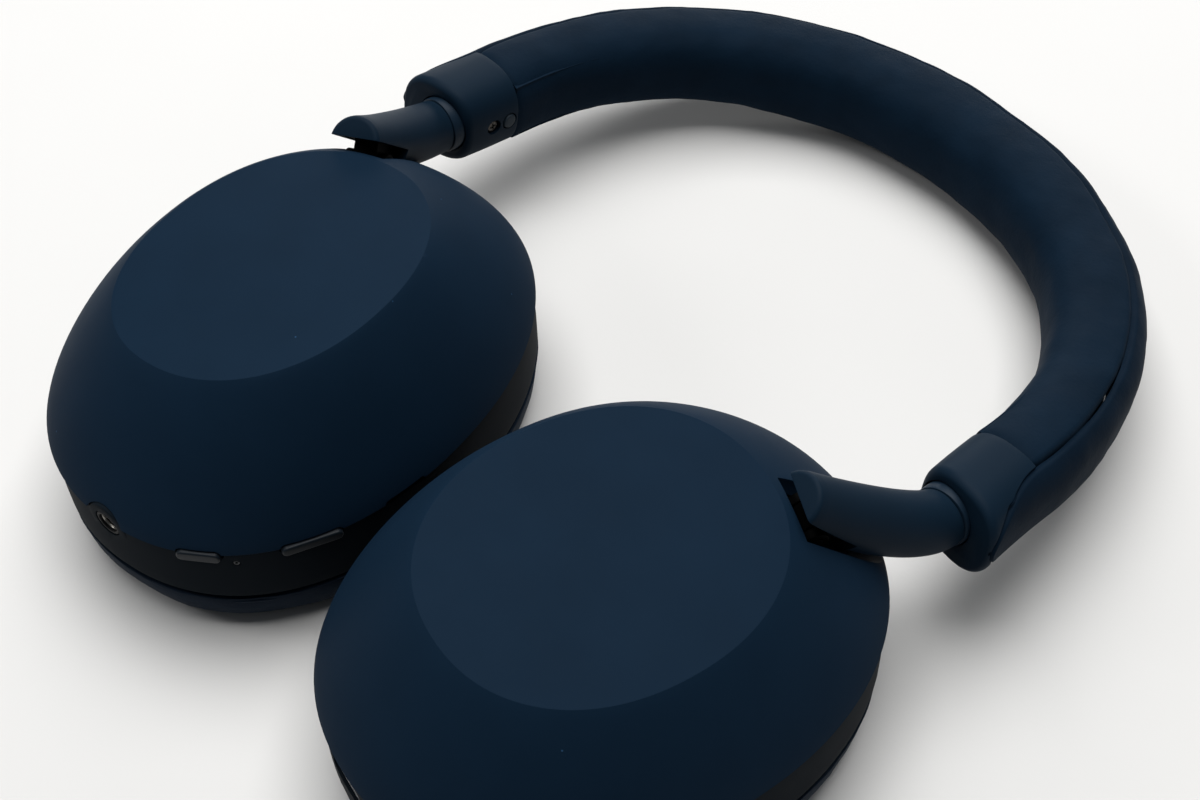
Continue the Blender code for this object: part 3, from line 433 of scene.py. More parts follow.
def leg_point(y, side=1):
    """The middle of the headband's straight leg at y."""
    lean = LEG_FLARE * (max(BAND_BEND_Y - y, 0) / LEG_LENGTH) ** 2
    return Vector((side * (BAND_HALF_WIDTH + lean), y, plane_height(y)))


def stem_frame(y):
    """A matrix that puts local Z on the stem axis of the right side, starting at y."""
    along = stem_direction()
    across = Vector((1, 0, 0))
    return axes_matrix(across, along.cross(across), along, stem_point(y))


def band_path(angle):
    """The headband's middle line, from the right leg at 0 over the apex to the left leg at pi."""
    x = BAND_HALF_WIDTH * signed_power(math.cos(angle), 2 / BAND_POWER)
    y = BAND_BEND_Y + BAND_RISE * signed_power(math.sin(angle), 2 / BAND_POWER)
    return Vector((x, y, plane_height(y)))


def leg_stations(places, side):
    """Stations on a straight leg at those y: a point and the outward direction."""
    return [(leg_point(y, side), Vector((side, 0, 0))) for y in places]


def band_stations(start_y):
    """Stations along the headband from one leg to the other."""
    normal = plane_normal()
    leg = [start_y + (BAND_BEND_Y - start_y) / 8 * i for i in range(8)]
    stations = leg_stations(leg, 1)
    step = math.pi / BAND_STATIONS
    for i in range(BAND_STATIONS + 1):
        angle = step * i
        before = band_path(max(angle - 0.5 * step, 0))
        after = band_path(min(angle + 0.5 * step, math.pi))
        stations.append((band_path(angle), (after - before).cross(normal).normalized()))
    return stations + leg_stations(leg, -1)[::-1]


def band_size(x):
    """Half thickness and half height of the headband at x, and how close to a leg that is."""
    share = min((x / BAND_HALF_WIDTH) ** 2, 1)
    half_thick = APEX_HALF_THICK + (LEG_HALF_THICK - APEX_HALF_THICK) * share
    half_height = APEX_HALF_HEIGHT + (LEG_HALF_HEIGHT - APEX_HALF_HEIGHT) * share
    return half_thick, half_height, share


def section_reach(up, half_thick, half_height):
    """How far out the headband's outline is at a height above or below its middle."""
    share = min(abs(up) / half_height, 1)
    return half_thick * (1 - share**SECTION_POWER) ** (1 / SECTION_POWER)


def section_arc(start, end, count, half_thick, half_height):
    """Points (out, up) on the headband's outline between two angles."""
    arc = []
    for angle in spread(start, end, count):
        out = half_thick * signed_power(math.cos(angle), 2 / SECTION_POWER)
        up = half_height * signed_power(math.sin(angle), 2 / SECTION_POWER)
        arc.append((out, up))
    return arc


def place_section(station, section):
    """Puts (out, up) points at a station of the headband."""
    point, outward = station
    normal = plane_normal()
    return [point + outward * out + normal * up for out, up in section]


def dip(arc, seams, depth=SEAM_DEPTH, width=SEAM_WIDTH):
    """Pulls an arc of (out, up) points in towards its middle beside the seams."""
    dipped = []
    for out, up in arc:
        near = min(math.hypot(out - seam[0], up - seam[1]) for seam in seams)
        keep = 1 - depth * math.exp(-((near / width) ** 2)) / math.hypot(out, up)
        dipped.append((out * keep, up * keep))
    return dipped


def cushion_section(x, end_dip=0.0):
    """A C shape: the soft outline round the inside and a channel that is open to the outside."""
    half_thick, half_height, share = band_size(x)
    seam = math.asin(COVER_SHARE ** (SECTION_POWER / 2)) + 0.002
    outer = section_arc(seam, FULL_TURN - seam, 64, half_thick - end_dip, half_height - end_dip)
    outer = dip(outer, (outer[0], outer[-1]))
    lip = outer[0][0] - LIP_DROP
    edge = COVER_SHARE * half_height - LIP_WIDTH
    back = -(CHANNEL_DEPTH_APEX + (CHANNEL_DEPTH_LEG - CHANNEL_DEPTH_APEX) * share)
    return [*outer, (lip, -edge), (back, -CHANNEL_HALF), (back, CHANNEL_HALF), (lip, edge)]


def cushion():
    """The padded inside of the headband: a sleeve that the outer strip closes."""
    close = [CAP_SEAM_Y + 0.1 * MM + step * MM for step in (0, 0.3, 0.7, 1.2, 1.9)]
    stations = leg_stations(close, 1) + band_stations(CAP_SEAM_Y + 2.6 * MM)
    stations.extend(leg_stations(close, -1)[::-1])
    rings = []
    for station in stations:
        near = max(station[0].y - CAP_SEAM_Y, 0)
        drawn = END_DRAW * math.exp(-((near / END_DRAW_REACH) ** 1.5))
        rings.append(place_section(station, cushion_section(station[0].x, drawn)))
    return loft("headband_padding", rings, smooth_angle=60)


def tongue_share(y):
    """Share of the cover's height that is left at y, along the rounded tongue over the end cap."""
    share = (CAP_SEAM_Y - y) / (CAP_SEAM_Y - TONGUE_TIP_Y)
    return math.sqrt(max(1 - max(share, 0) ** 2.4, 0))


def cover_section(x, narrow=1.0, grow=0.0):
    """The outer strip's section: an arc on the outside, and a flat back with sloping sides."""
    half_thick, half_height, _ = band_size(x)
    edge = COVER_SHARE * half_height * narrow
    back = half_thick - COVER_THICK - grow
    arc = []
    for degrees in spread(-90, 90, 40):
        up = edge * math.sin(math.radians(degrees))
        arc.append((section_reach(up, half_thick, half_height) + grow, up * (1 + grow / edge)))
    rim = min(arc[0][0] - 2 * grow, back)
    lip = edge - 1.4 * MM * min(max((back - rim) / (2 * MM), 0), 1)
    flat = 0.55 * edge
    if grow:
        arc = [(rim, -edge - grow), *arc, (rim, edge + grow)]
    else:
        arc = dip(arc, (arc[0], arc[-1]), STRIP_DIP_DEPTH, STRIP_DIP_WIDTH)
    return [*arc, (rim, lip + grow), (back, flat + grow), (back, -flat - grow), (rim, -lip - grow)]


def tongue_rings(side, grow=0.0):
    """Rings of the cover's tongue from its tip up to the seam, closer together near the tip."""
    count = 26
    last = QUARTER_TURN * 0.985
    reach = CAP_SEAM_Y - TONGUE_TIP_Y
    places = [CAP_SEAM_Y - reach * math.sin(last * i / count) for i in range(count, 0, -1)]
    rings = []
    for y, station in zip(places, leg_stations(places, side)):
        rings.append(place_section(station, cover_section(BAND_HALF_WIDTH, tongue_share(y), grow)))
    return rings


def cover():
    """The strip round the outside of the headband, with a tongue over each end cap."""
    rings = tongue_rings(1)
    for station in band_stations(CAP_SEAM_Y):
        rings.append(place_section(station, cover_section(station[0].x)))
    rings.extend(reversed(tongue_rings(-1)))
    return loft("headband_strip", rings, smooth_angle=50)


def tongue_cutter():
    """The room for the cover's tongue in the right end cap."""
    rings = tongue_rings(1, TONGUE_GAP)
    tip = [point - Vector((0, GAP, 0)) for point in rings[0]]
    full = cover_section(BAND_HALF_WIDTH, 1, TONGUE_GAP)
    end = place_section(*leg_stations([CAP_SEAM_Y + 1 * MM], 1), full)
    return loft("tongue_cutter", [tip, *rings, end])


def cap_ring(share, inset):
    """A ring of the right end cap; its outer side reaches further towards the arm."""
    half_thick, half_height, _ = band_size(BAND_HALF_WIDTH)
    y = CAP_END_Y + share * (CAP_SEAM_Y - CAP_END_Y)
    section = section_arc(0, FULL_TURN, 96, half_thick - inset, half_height - inset)[:-1]
    ring = place_section(*leg_stations([y], 1), section)
    for point in ring:
        outer = 0.5 + 0.5 * (point.x - BAND_HALF_WIDTH) / half_thick
        point.y -= CAP_SLANT * min(max(outer, 0), 1) * (1 - share)
    return ring


def end_cap(label, side):
    """The hard cap on the headband's end, with the socket that the slider runs through."""
    rings = []
    for angle in spread(0, QUARTER_TURN, 8):
        share = CAP_EDGE_SHARE * (1 - math.cos(angle))
        rings.append(cap_ring(share, CAP_EDGE_ROUND * (1 - math.sin(angle))))
    rings.extend(cap_ring(share, 0) for share in (0.3, 0.5, 0.7, 0.9, 0.975))
    rings.append(cap_ring(0.992, 0.05 * MM))
    rings.append(cap_ring(1, 0.2 * MM))
    piece = loft("cap_" + label, rings)
    cut(piece, tongue_cutter())
    for radius, low, high in ((GUIDE_RADIUS, -20 * MM, 20 * MM), (COLLAR_RADIUS, -5 * MM, 3.2 * MM)):
        bore = turned("bore", [(radius + GAP, low), (radius + GAP, high)])
        cut(piece, apply_matrix(bore, stem_frame(CAP_END_Y)))
    for y, radius, depth in CAP_HOLES:
        room = turned("hole", [(radius, -depth), (radius, 5 * MM)], 40)
        cut(piece, apply_matrix(room, cap_hole_frame(y)))
    return mirrored(tidy(piece, 0.12 * MM), side)


def cap_hole_frame(y):
    """A matrix that puts local Z along -X, out of the right end cap's inner side at y."""
    turn = Matrix.Rotation(math.radians(-90), 4, "Y")
    place = leg_point(y) - Vector((LEG_HALF_THICK, 0, 0))
    return Matrix.Translation(place) @ turn


def end_cap_screw(label, side):
    """The recessed screw on the inner side of the end cap."""
    profile = [(1.25, -1.1), (1.25, -0.72), (1.2, -0.62), (1.05, -0.5), (0.6, -0.46)]
    piece = turned("screw_" + label, in_mm(profile), 32)
    cross = box("cross", (1.4 * MM, 0.35 * MM, 0.5 * MM), (0, 0, -0.5 * MM))
    cut(piece, join(cross, box("bar", (0.35 * MM, 1.4 * MM, 0.5 * MM), (0, 0, -0.5 * MM))))
    return placed(piece, cap_hole_frame(SCREW_Y), side)


def side_marker(label, side):
    """The raised disc that tells left from right by touch."""
    profile = [(1.45, -0.5), (1.45, 0.0), (1.38, 0.14), (1.2, 0.22), (0.6, 0.27)]
    piece = turned("marker_" + label, in_mm(profile), 32)
    return placed(piece, cap_hole_frame(MARKER_Y), side)


# ---------------------------------------------------------------- sliders and arms


def slider(label, side):
    """The rod that lengthens the headband, with a collar and the spigot that the arm turns on."""
    collar_end = CAP_END_Y + 2.6 * MM - ARM_START_Y
    rod_end = ROD_END_Y - ARM_START_Y
    profile = [
        (SPIGOT_RADIUS - 0.4 * MM, -3.2 * MM),
        (SPIGOT_RADIUS, -2.8 * MM),
        (SPIGOT_RADIUS, 0.1 * MM),
        (COLLAR_RADIUS - 0.35 * MM, 0.1 * MM),
        (COLLAR_RADIUS - 0.1 * MM, 0.18 * MM),
        (COLLAR_RADIUS, 0.4 * MM),
        (COLLAR_RADIUS, collar_end - 0.3 * MM),
        (COLLAR_RADIUS - 0.3 * MM, collar_end),
        (ROD_RADIUS, collar_end),
        (ROD_RADIUS, rod_end - 0.6 * MM),
        (ROD_RADIUS - 0.6 * MM, rod_end),
    ]
    piece = turned("slide_rod_" + label, profile, 96)
    return placed(piece, stem_frame(ARM_START_Y), side)


def arm_path(share):
    """The arm's centre line, from its end face at the cup (0) to the slider (1)."""
    start, end = ARM_END, stem_point(ARM_START_Y)
    first = start + ARM_END_ALONG * ARM_END_HANDLE
    second = end - stem_direction() * ARM_START_HANDLE
    rest = 1 - share
    outer = start * rest**3 + end * share**3
    return outer + first * (3 * rest**2 * share) + second * (3 * rest * share**2)


def arm_frame(share):
    """The centre line's point, and the directions across, below and along the arm there."""
    step = 0.001
    here = arm_path(share)
    if share < step:
        along = ARM_END_ALONG
    elif share > 1 - step:
        along = stem_direction()
    else:
        along = (arm_path(share + step) - arm_path(share - step)).normalized()
    across = along.cross(Vector((FACE_TILT_OUT, FACE_TILT_TOP, 1))).normalized()
    below = along.cross(across)
    return here, across, below, along


def arm_ring(share, radius, shift=0.0):
    """A circle about the arm's centre line, which may lie shift beyond its place along the arm."""
    here, across, below, along = arm_frame(share)
    ring = []
    for angle in spread(0, FULL_TURN, ARM_SEGMENTS)[:-1]:
        ring.append(here + along * shift + (across * math.cos(angle) + below * math.sin(angle)) * radius)
    return ring


def arm_radius(share):
    """The arm is thickest in the middle."""
    bow = math.sin(math.pi * share) * (ARM_MID_RADIUS - 0.5 * (ARM_END_RADIUS + ARM_RADIUS))
    return ARM_END_RADIUS + (ARM_RADIUS - ARM_END_RADIUS) * share + bow


def hood_matrix():
    """Local X runs across the arm's end, Y along the arm from its end face, Z away from the cup."""
    here, across, below, along = arm_frame(0)
    return axes_matrix(across, along, -below, here)


def arm(label, side):
    """The hollow bent arm. Its end is a hood over the cup's hinge."""
    edge = round_edge(ARM_EDGE_ROUND, 7)
    rings = [arm_ring(0, ARM_END_RADIUS - inset, shift) for inset, shift in edge]
    shares = [0.04 + 0.96 * i / ARM_STATIONS for i in range(1, ARM_STATIONS + 1)]
    rings.extend(arm_ring(share, arm_radius(share)) for share in shares[:-1])
    rings.append(arm_ring(1, ARM_RADIUS, -0.25 * MM))
    rings.append(arm_ring(1, ARM_RADIUS - 0.2 * MM))
    rings.extend(arm_ring(share, arm_radius(share) - ARM_WALL) for share in reversed(shares[::4]))
    rings.append(arm_ring(0, ARM_END_RADIUS - ARM_WALL, 1.6 * MM))
    piece = loft("yoke_arm_" + label, rings)
    depth = 14 * MM
    centre = (0, HOOD_LENGTH / 2 - 5 * MM, HOOD_RISE - depth / 2)
    below_hood = box("below_hood", (20 * MM, HOOD_LENGTH + 10 * MM, depth), centre)
    cut(piece, apply_matrix(below_hood, hood_matrix()))
    return mirrored(tidy(piece, 0.18 * MM), side)


def pin_cylinder(name, radius, length):
    """A cylinder on the hinge axis, in the hood's own axes."""
    piece = turned(name, [(radius, -length / 2), (radius, length / 2)], 40)
    turn = Matrix.Rotation(math.radians(90), 4, "Y")
    return apply_matrix(piece, Matrix.Translation((0, PIN_ALONG, -PIN_BELOW)) @ turn)


def ear_arc(start, end):
    """Points (along, below) round the hinge axis, between two angles in degrees."""
    points = []
    for degrees in spread(start, end, 24):
        angle = math.radians(degrees)
        along = PIN_ALONG + EAR_RADIUS * math.cos(angle)
        points.append((along, PIN_BELOW + EAR_RADIUS * math.sin(angle)))
    return points


def hinge_slab(name, points, start, end):
    """A flat piece with an outline of (along, below) points, between two places across the arm."""
    return loft(name, [[Vector((x, along, -below)) for along, below in points] for x in (start, end)])


def hinge_knuckle(label, side):
    """The block under the arm's hood that turns on the hinge pin."""
    front = PIN_ALONG - EAR_RADIUS
    back = PIN_ALONG + EAR_RADIUS
    heel = HOOD_LENGTH - 1 * MM
    points = [(back, 0.8 * MM), (heel, 0.8 * MM), (heel, -KNUCKLE_TOP)]
    points.extend([(front, -KNUCKLE_TOP), (front, PIN_BELOW)])
    points.extend(ear_arc(180, 0)[1:])
    piece = hinge_slab("knuckle_" + label, points, -KNUCKLE_HALF_WIDTH, KNUCKLE_HALF_WIDTH)
    cut(piece, pin_cylinder("knuckle_bore", PIN_RADIUS + 0.08 * MM, 20 * MM))
    return placed(tidy(piece, 0.12 * MM), hood_matrix(), side)


def hinge_bracket(label, side):
    """The fork that carries the hinge pin, rising through the pocket's floor."""
    inner = KNUCKLE_HALF_WIDTH + GAP
    outer = inner + EAR_THICK
    base = BRACKET_BASE + 0.5 * MM
    points = [(PIN_ALONG - EAR_RADIUS, base), *ear_arc(180, 360), (PIN_ALONG + EAR_RADIUS, base)]
    foot = box("foot", (12 * MM, 6.4 * MM, 1.6 * MM), (0, PIN_ALONG, -BRACKET_BASE - 0.8 * MM))
    for sign in (-1, 1):
        join(foot, hinge_slab("ear", points, sign * inner, sign * outer))
    foot.name = "bracket_" + label
    cut(foot, pin_cylinder("bracket_bore", PIN_RADIUS + 0.05 * MM, 20 * MM))
    return placed(tidy(foot, 0.1 * MM), hood_matrix(), side)


def hinge_pin(label, side):
    """The pin between arm and cup."""
    return placed(pin_cylinder("pin_" + label, PIN_RADIUS, 8.6 * MM), hood_matrix(), side)


# ---------------------------------------------------------------- cups


def cup_matrix():
    """From the right cup's own axes to the whole object's."""
    return Matrix.Translation(CUP_CENTRE) @ Matrix.Rotation(-CUP_TURN, 4, "Z")


def face_height(x, y):
    """Height of the tilted flat face at a point in the cup's axes."""
    dx = x - FACE_CENTRE.x
    dy = y - FACE_CENTRE.y
    out = dx * math.cos(CUP_TURN) + dy * math.sin(CUP_TURN)
    top = dy * math.cos(CUP_TURN) - dx * math.sin(CUP_TURN)
    return FACE_CENTRE.z - FACE_TILT_OUT * out - FACE_TILT_TOP * top


def face_ring(inset, drop):
    """The edge of the flat face, moved in by inset and down by drop."""
    half_width = FACE_HALF_WIDTH - inset
    half_length = FACE_HALF_LENGTH - inset
    ring = oval(half_width, half_length, 0, centre=(FACE_CENTRE.x, FACE_CENTRE.y))
    for point in ring:
        point.z = face_height(point.x, point.y) - drop
    return ring


def slope_ring(top, bottom, share):
    """A ring part of the way down the outer shell's convex slope."""
    fall = 1 - (1 - share**SLOPE_START) ** (1 / SLOPE_END)
    ring = []
    for high, low in zip(top, bottom):
        point = high.lerp(low, share)
        point.z = high.z + (low.z - high.z) * fall
        ring.append(point)
    return ring


def shell_rings(inset, drop, shares):
    """Rings from the flat face down to the parting line."""
    top = face_ring(inset * 0.6, drop)
    bottom = cup_ring(inset, PARTING_Z)
    return [slope_ring(top, bottom, share) for share in shares]


def slope_shares(count):
    """Steps down the slope, closer together towards the wall."""
    return [1 - (1 - i / count) ** 1.5 for i in range(count + 1)]


def arm_pocket(margin):
    """The room round the arm, margin wider than it, ended by an upright plane by the arm's end face."""
    rings = [arm_ring(0, ARM_END_RADIUS + margin, -6 * MM)]
    rings.extend(arm_ring(i / 40, arm_radius(i / 40) + margin) for i in range(41))
    piece = loft("arm_pocket", rings)
    size = 60 * MM
    flat = Vector((ARM_END_ALONG.x, ARM_END_ALONG.y, 0)).normalized()
    turn = flat.to_track_quat("Y", "Z").to_matrix().to_4x4()
    edge = POCKET_SETBACK + margin - POCKET_CLEARANCE
    place = Matrix.Translation(ARM_END - flat * edge) @ turn
    boolean(piece, apply_matrix(box("half", (size, size, size), (0, size / 2, 0)), place), "INTERSECT")
    return apply_matrix(piece, cup_matrix().inverted())


def cup_blank():
    """The outer shell's whole volume, a little inside its surface."""
    return loft("cup_blank", shell_rings(0.8 * MM, 0.8 * MM, slope_shares(12)))


def outer_shell(label, side):
    """The cup's outer shell: a bowl with a crisp flat face and a pocket for the arm."""
    rings = [face_ring(0.3 * MM, 0), face_ring(0.1 * MM, 0.02 * MM)]
    rings.extend(shell_rings(0, 0.03 * MM, slope_shares(34)[:-1]))
    rim = in_mm([(0.02, 0.22), (0.1, 0.06), (0.28, 0)])
    rings.extend(cup_ring(inset, PARTING_Z + z) for inset, z in rim)
    rings.extend(reversed(shell_rings(WALL, WALL, slope_shares(10))))
    piece = loft("shell_" + label, rings, smooth_angle=20)
    wall = arm_pocket(POCKET_CLEARANCE + POCKET_WALL)
    join(piece, boolean(wall, cup_blank(), "INTERSECT"))
    cut(piece, arm_pocket(POCKET_CLEARANCE))
    slot = box("bracket_slot", (10.4 * MM, 6.2 * MM, 8 * MM), (0, PIN_ALONG, -7.6 * MM))
    cut(piece, apply_matrix(slot, cup_matrix().inverted() @ hood_matrix()))
    for cutter in wall_cutters(label):
        cut(piece, cutter)
    if label == "left":
        cut(piece, jack_boss_cutter())
    return placed(tidy(piece, 0.14 * MM, 24), cup_matrix(), side)


def inner_shell(label, side):
    """The cup's inner shell: an upright wall with a flange that the ear pad sits on."""
    top = PARTING_Z - 0.36 * MM
    bottom = INNER_BOTTOM_Z
    lip = [(1.3, 0), (1.05, 0.02), (0.8, 0.12), (0.62, 0.3), (0.48, 0.6), (0.38, 1.0)]
    lip.extend([(0.31, 1.6), (0.3, 3.5)])
    rings = [cup_ring(inset, bottom + z) for inset, z in in_mm(lip)]
    edge = [(0.3, -7.2), (0.4, -4.0), (0.55, -0.7), (0.6, -0.25), (0.68, -0.08), (0.85, 0)]
    rings.extend(cup_ring(inset, top + z) for inset, z in in_mm(edge))
    rings.extend(cup_ring(LINER_INSET + WALL, z) for z in (top, bottom + FLANGE_THICK))
    half_sizes = (EAR_HALF_WIDTH + FLANGE_INSET, EAR_HALF_LENGTH + FLANGE_INSET)
    rings.extend(oval(*half_sizes, z) for z in (bottom + FLANGE_THICK, bottom))
    piece = loft("liner_" + label, rings, closed=True)
    cut(piece, arm_pocket(POCKET_CLEARANCE))
    if label == "left":
        join(piece, jack_boss())
    for cutter in wall_cutters(label):
        cut(piece, cutter)
    if label == "left":
        for radius, matrix in ((JACK_RADIUS, JACK_MATRIX), (LED_RADIUS, LED_MATRIX)):
            cut(piece, apply_matrix(hole(radius + 0.12 * MM, 20 * MM), matrix))
    return placed(tidy(piece, 0.1 * MM, 30), cup_matrix(), side)


def pad_rings():
    """The loop of outlines round the ear pad's section, from its top edge round under it."""
    outer = [(1.6, 9.4), (0.95, 8.9), (0.7, 7.4), (0.9, 5.2), (1.7, 2.9), (3.3, 1.0)]
    outer.extend([(5.6, 0.12), (8.0, 0)])
    inner = [(4.6, 0.1), (2.2, 1.0), (0.8, 2.8), (0.35, 5.2), (0.9, 7.8), (1.4, 9.0), (2.6, 9.4)]
    rings = [cup_ring(inset, z) for inset, z in in_mm(outer)]
    for inset, z in in_mm(inner):
        rings.append(oval(EAR_HALF_WIDTH + inset, EAR_HALF_LENGTH + inset, z))
    return rings


def ear_pad(label, side):
    """The soft ring round the ear, flat where it rests on the table."""
    piece = loft("pad_" + label, spline_rings(pad_rings(), 5), closed=True, smooth_angle=70)
    undulate(piece, PAD_WAVES)
    for vert in piece.data.vertices:
        vert.co.z = min(max(vert.co.z, 0), PAD_TOP_Z + 0.05 * MM)
    return placed(piece, cup_matrix(), side)


def pad_piping(label, side):
    """The thin sewn roll round the ear pad's outer seam."""
    up = Vector((0, 0, 1))
    path = oval(CUP_HALF_WIDTH - 1.15 * MM, CUP_HALF_LENGTH - 1.15 * MM, 7.9 * MM)
    count = len(path)
    rings = []
    for i, point in enumerate(path):
        out = (path[(i + 1) % count] - path[i - 1]).normalized().cross(up)
        angles = spread(0, FULL_TURN, 10)[:-1]
        rings.append([point + (out * math.cos(a) + up * math.sin(a)) * PIPING_RADIUS for a in angles])
    piece = loft("pad_piping_" + label, rings, closed=True, smooth_angle=70)
    return placed(piece, cup_matrix(), side)


# ---------------------------------------------------------------- controls and sockets


def wall_frame(degrees, z):
    """A matrix on the cup's wall: X along the wall, Y inwards, Z up."""
    angle = math.radians(degrees)
    direction = Vector((math.cos(angle), math.sin(angle), 0))
    reach = (abs(direction.x) / CUP_HALF_WIDTH) ** CUP_POWER
    reach += (abs(direction.y) / CUP_HALF_LENGTH) ** CUP_POWER
    place = direction * reach ** (-1 / CUP_POWER)
    halves = ((place.x, CUP_HALF_WIDTH), (place.y, CUP_HALF_LENGTH))
    steepness = [signed_power(value / half, CUP_POWER - 1) / half for value, half in halves]
    outward = Vector((*steepness, 0)).normalized()
    up = Vector((0, 0, 1))
    return axes_matrix(up.cross(outward), -outward, up, Vector((place.x, place.y, z)))


JACK_RADIUS = 2.6 * MM
JACK_MATRIX = wall_frame(-88.6, 21.4 * MM)
LED_RADIUS = 0.55 * MM
LED_MATRIX = wall_frame(-118.6, 20.4 * MM)
POWER_MATRIX = wall_frame(-111.2, 22.6 * MM)
POWER_SIZE = (7.8 * MM, 2.4 * MM)
NOISE_MATRIX = wall_frame(-135.2, 22.6 * MM)
NOISE_SIZE = (10.8 * MM, 2.2 * MM)
MIC_MATRIX = wall_frame(-159.6, 23.1 * MM)
MIC_SIZE = (8.0 * MM, 1.1 * MM)
USB_MATRIX = wall_frame(-91.0, 17.8 * MM)
USB_SIZE = (9.6 * MM, 3.8 * MM)
BUTTON_PROUD = 0.35 * MM
BUTTON_DEPTH = 4.6 * MM
BUTTON_SLACK = 0.2 * MM
INWARDS = Matrix.Rotation(math.radians(-90), 4, "X")


def hole(radius, depth):
    """A cylinder along the wall frame's Y, from outside the cup inwards."""
    return apply_matrix(turned("hole", [(radius, -6 * MM), (radius, depth)], 48), INWARDS)


def slot_cutter(size, matrix, depth):
    """A pill shaped opening through the wall, a little larger than what fills it."""
    clearance = 0.5 * MM
    piece = pill("slot", size[0] + clearance, size[1] + clearance, depth + 6 * MM)
    return apply_matrix(piece, matrix @ Matrix.Translation((0, -6 * MM, 0)))


def wall_cutters(label):
    """Openings that both shells share."""
    if label == "left":
        left = ((POWER_SIZE, POWER_MATRIX), (NOISE_SIZE, NOISE_MATRIX), (MIC_SIZE, MIC_MATRIX))
        return [slot_cutter(size, matrix, 10 * MM) for size, matrix in left]
    return [slot_cutter(USB_SIZE, USB_MATRIX, 8 * MM)]


def jack_boss():
    """The inner shell's raised part round the jack."""
    profile = [(3.2, 0.52), (3.9, 0.54), (4.25, 0.66), (4.4, 0.95), (4.4, 2.4)]
    return apply_matrix(turned("boss", in_mm(profile)), JACK_MATRIX @ INWARDS)


def jack_boss_cutter():
    return apply_matrix(turned("boss_room", in_mm([(4.55, -6), (4.55, 4)])), JACK_MATRIX @ INWARDS)


def button(name, size, matrix, side):
    """A pill shaped key with a soft front edge and a wider foot inside the wall."""
    length, height = size
    depth = BUTTON_DEPTH + BUTTON_PROUD
    piece = pill(name, length - BUTTON_SLACK, height - BUTTON_SLACK, depth, 0.4 * MM)
    apply_matrix(piece, Matrix.Translation((0, -BUTTON_PROUD, 0)))
    join(piece, box("foot", (length + 1.2 * MM, 0.8 * MM, height + 1.0 * MM), (0, BUTTON_DEPTH, 0)))
    return placed(tidy(piece), cup_matrix() @ matrix, side)


def wall_turned(name, profile, matrix, side):
    """A closed tube along an opening in the cup's wall, from (radius, depth) points in millimetres."""
    piece = loft(name, [circle(radius, z) for radius, z in in_mm(profile)], closed=True)
    return placed(piece, cup_matrix() @ matrix @ INWARDS, side)


def jack_sleeve(side):
    """The jack's dark sleeve, with a rounded front edge and a seat for the ring."""
    front = [(1.6, 1.45), (1.95, 1.45), (1.98, 0.75), (2.1, 0.6), (2.35, 0.56), (2.5, 0.64)]
    profile = [*front, (2.58, 0.85), (2.58, 12), (1.6, 12)]
    return wall_turned("jack_sleeve", profile, JACK_MATRIX, side)


def jack_ring(side):
    """The bright ring round the jack's bore."""
    profile = [(1.62, 1.42), (1.65, 1.15), (1.75, 1.02), (1.86, 1.06), (1.93, 1.2), (1.93, 1.42)]
    return wall_turned("jack_ring", profile, JACK_MATRIX, side)


def status_led(side):
    """The light guide beside the power button: a ring round a dark middle."""
    profile = [(0.24, 0.62), (0.3, 0.5), (0.46, 0.46), (0.55, 0.58), (0.55, 4.2), (0.24, 4.2)]
    return wall_turned("led_ring", profile, LED_MATRIX, side)


def mic_grille(side):
    """The microphone's grille: a bar with a row of fine slits."""
    piece = pill("mic_mesh", MIC_SIZE[0], MIC_SIZE[1], 1.4 * MM, 0.2 * MM)
    slits = 13
    for i in range(slits):
        x = (i - (slits - 1) / 2) * 0.52 * MM
        cut(piece, box("slit", (0.24 * MM, 0.6 * MM, 0.66 * MM), (x, 0, 0)))
    place = cup_matrix() @ MIC_MATRIX @ Matrix.Translation((0, 1.0 * MM, 0))
    return placed(tidy(piece), place, side)


def usb_socket(side):
    """The charging socket: a pill shaped sleeve with a contact tongue."""
    length, height = USB_SIZE
    wall = 0.45 * MM
    piece = pill("charge_port", length, height, 7.0 * MM, 0.15 * MM)
    inside = pill("inside", length - 2 * wall, height - 2 * wall, 7.6 * MM)
    cut(piece, apply_matrix(inside, Matrix.Translation((0, -1 * MM, 0))))
    join(piece, box("tongue", (6.4 * MM, 5.4 * MM, 0.7 * MM), (0, 3.8 * MM, 0), 0.1 * MM))
    place = cup_matrix() @ USB_MATRIX @ Matrix.Translation((0, 0.9 * MM, 0))
    return placed(tidy(piece), place, side)


# ---------------------------------------------------------------- materials

# Places of the Mix node's colour sockets.
MIX_COLOUR_A = 6
MIX_COLOUR_B = 7
MIX_COLOUR_OUT = 2


def shader_of(material):
    return material.node_tree.nodes["Principled BSDF"]


def principled(name, colour, roughness, metallic=0.0, specular=0.5):
    """A new material with its constant values set on the shader's own sockets."""
    made = bpy.data.materials.new(name)
    made.use_nodes = True
    inputs = shader_of(made).inputs
    inputs["Base Color"].default_value = (*colour, 1)
    inputs["Roughness"].default_value = roughness
    inputs["Metallic"].default_value = metallic
    inputs["Specular IOR Level"].default_value = specular
    made.diffuse_color = (*colour, 1)
    return made


def add(material, kind, **settings):
    """A node with its plain input values set."""
    made = material.node_tree.nodes.new(kind)
    for key, value in settings.items():
        made.inputs[key.replace("_", " ")].default_value = value
    return made


def wire(material, start, output, end, socket):
    material.node_tree.links.new(start.outputs[output], end.inputs[socket])


def coordinates(material):
    """The object's own coordinates, which stay with a piece as it moves."""
    found = material.node_tree.nodes.get("place")
    if not found:
        found = add(material, "ShaderNodeTexCoord")
        found.name = "place"
    return found


def on_object(material, field):
    """Lets a texture follow the object's own coordinates."""
    wire(material, coordinates(material), "Object", field, "Vector")
    return field


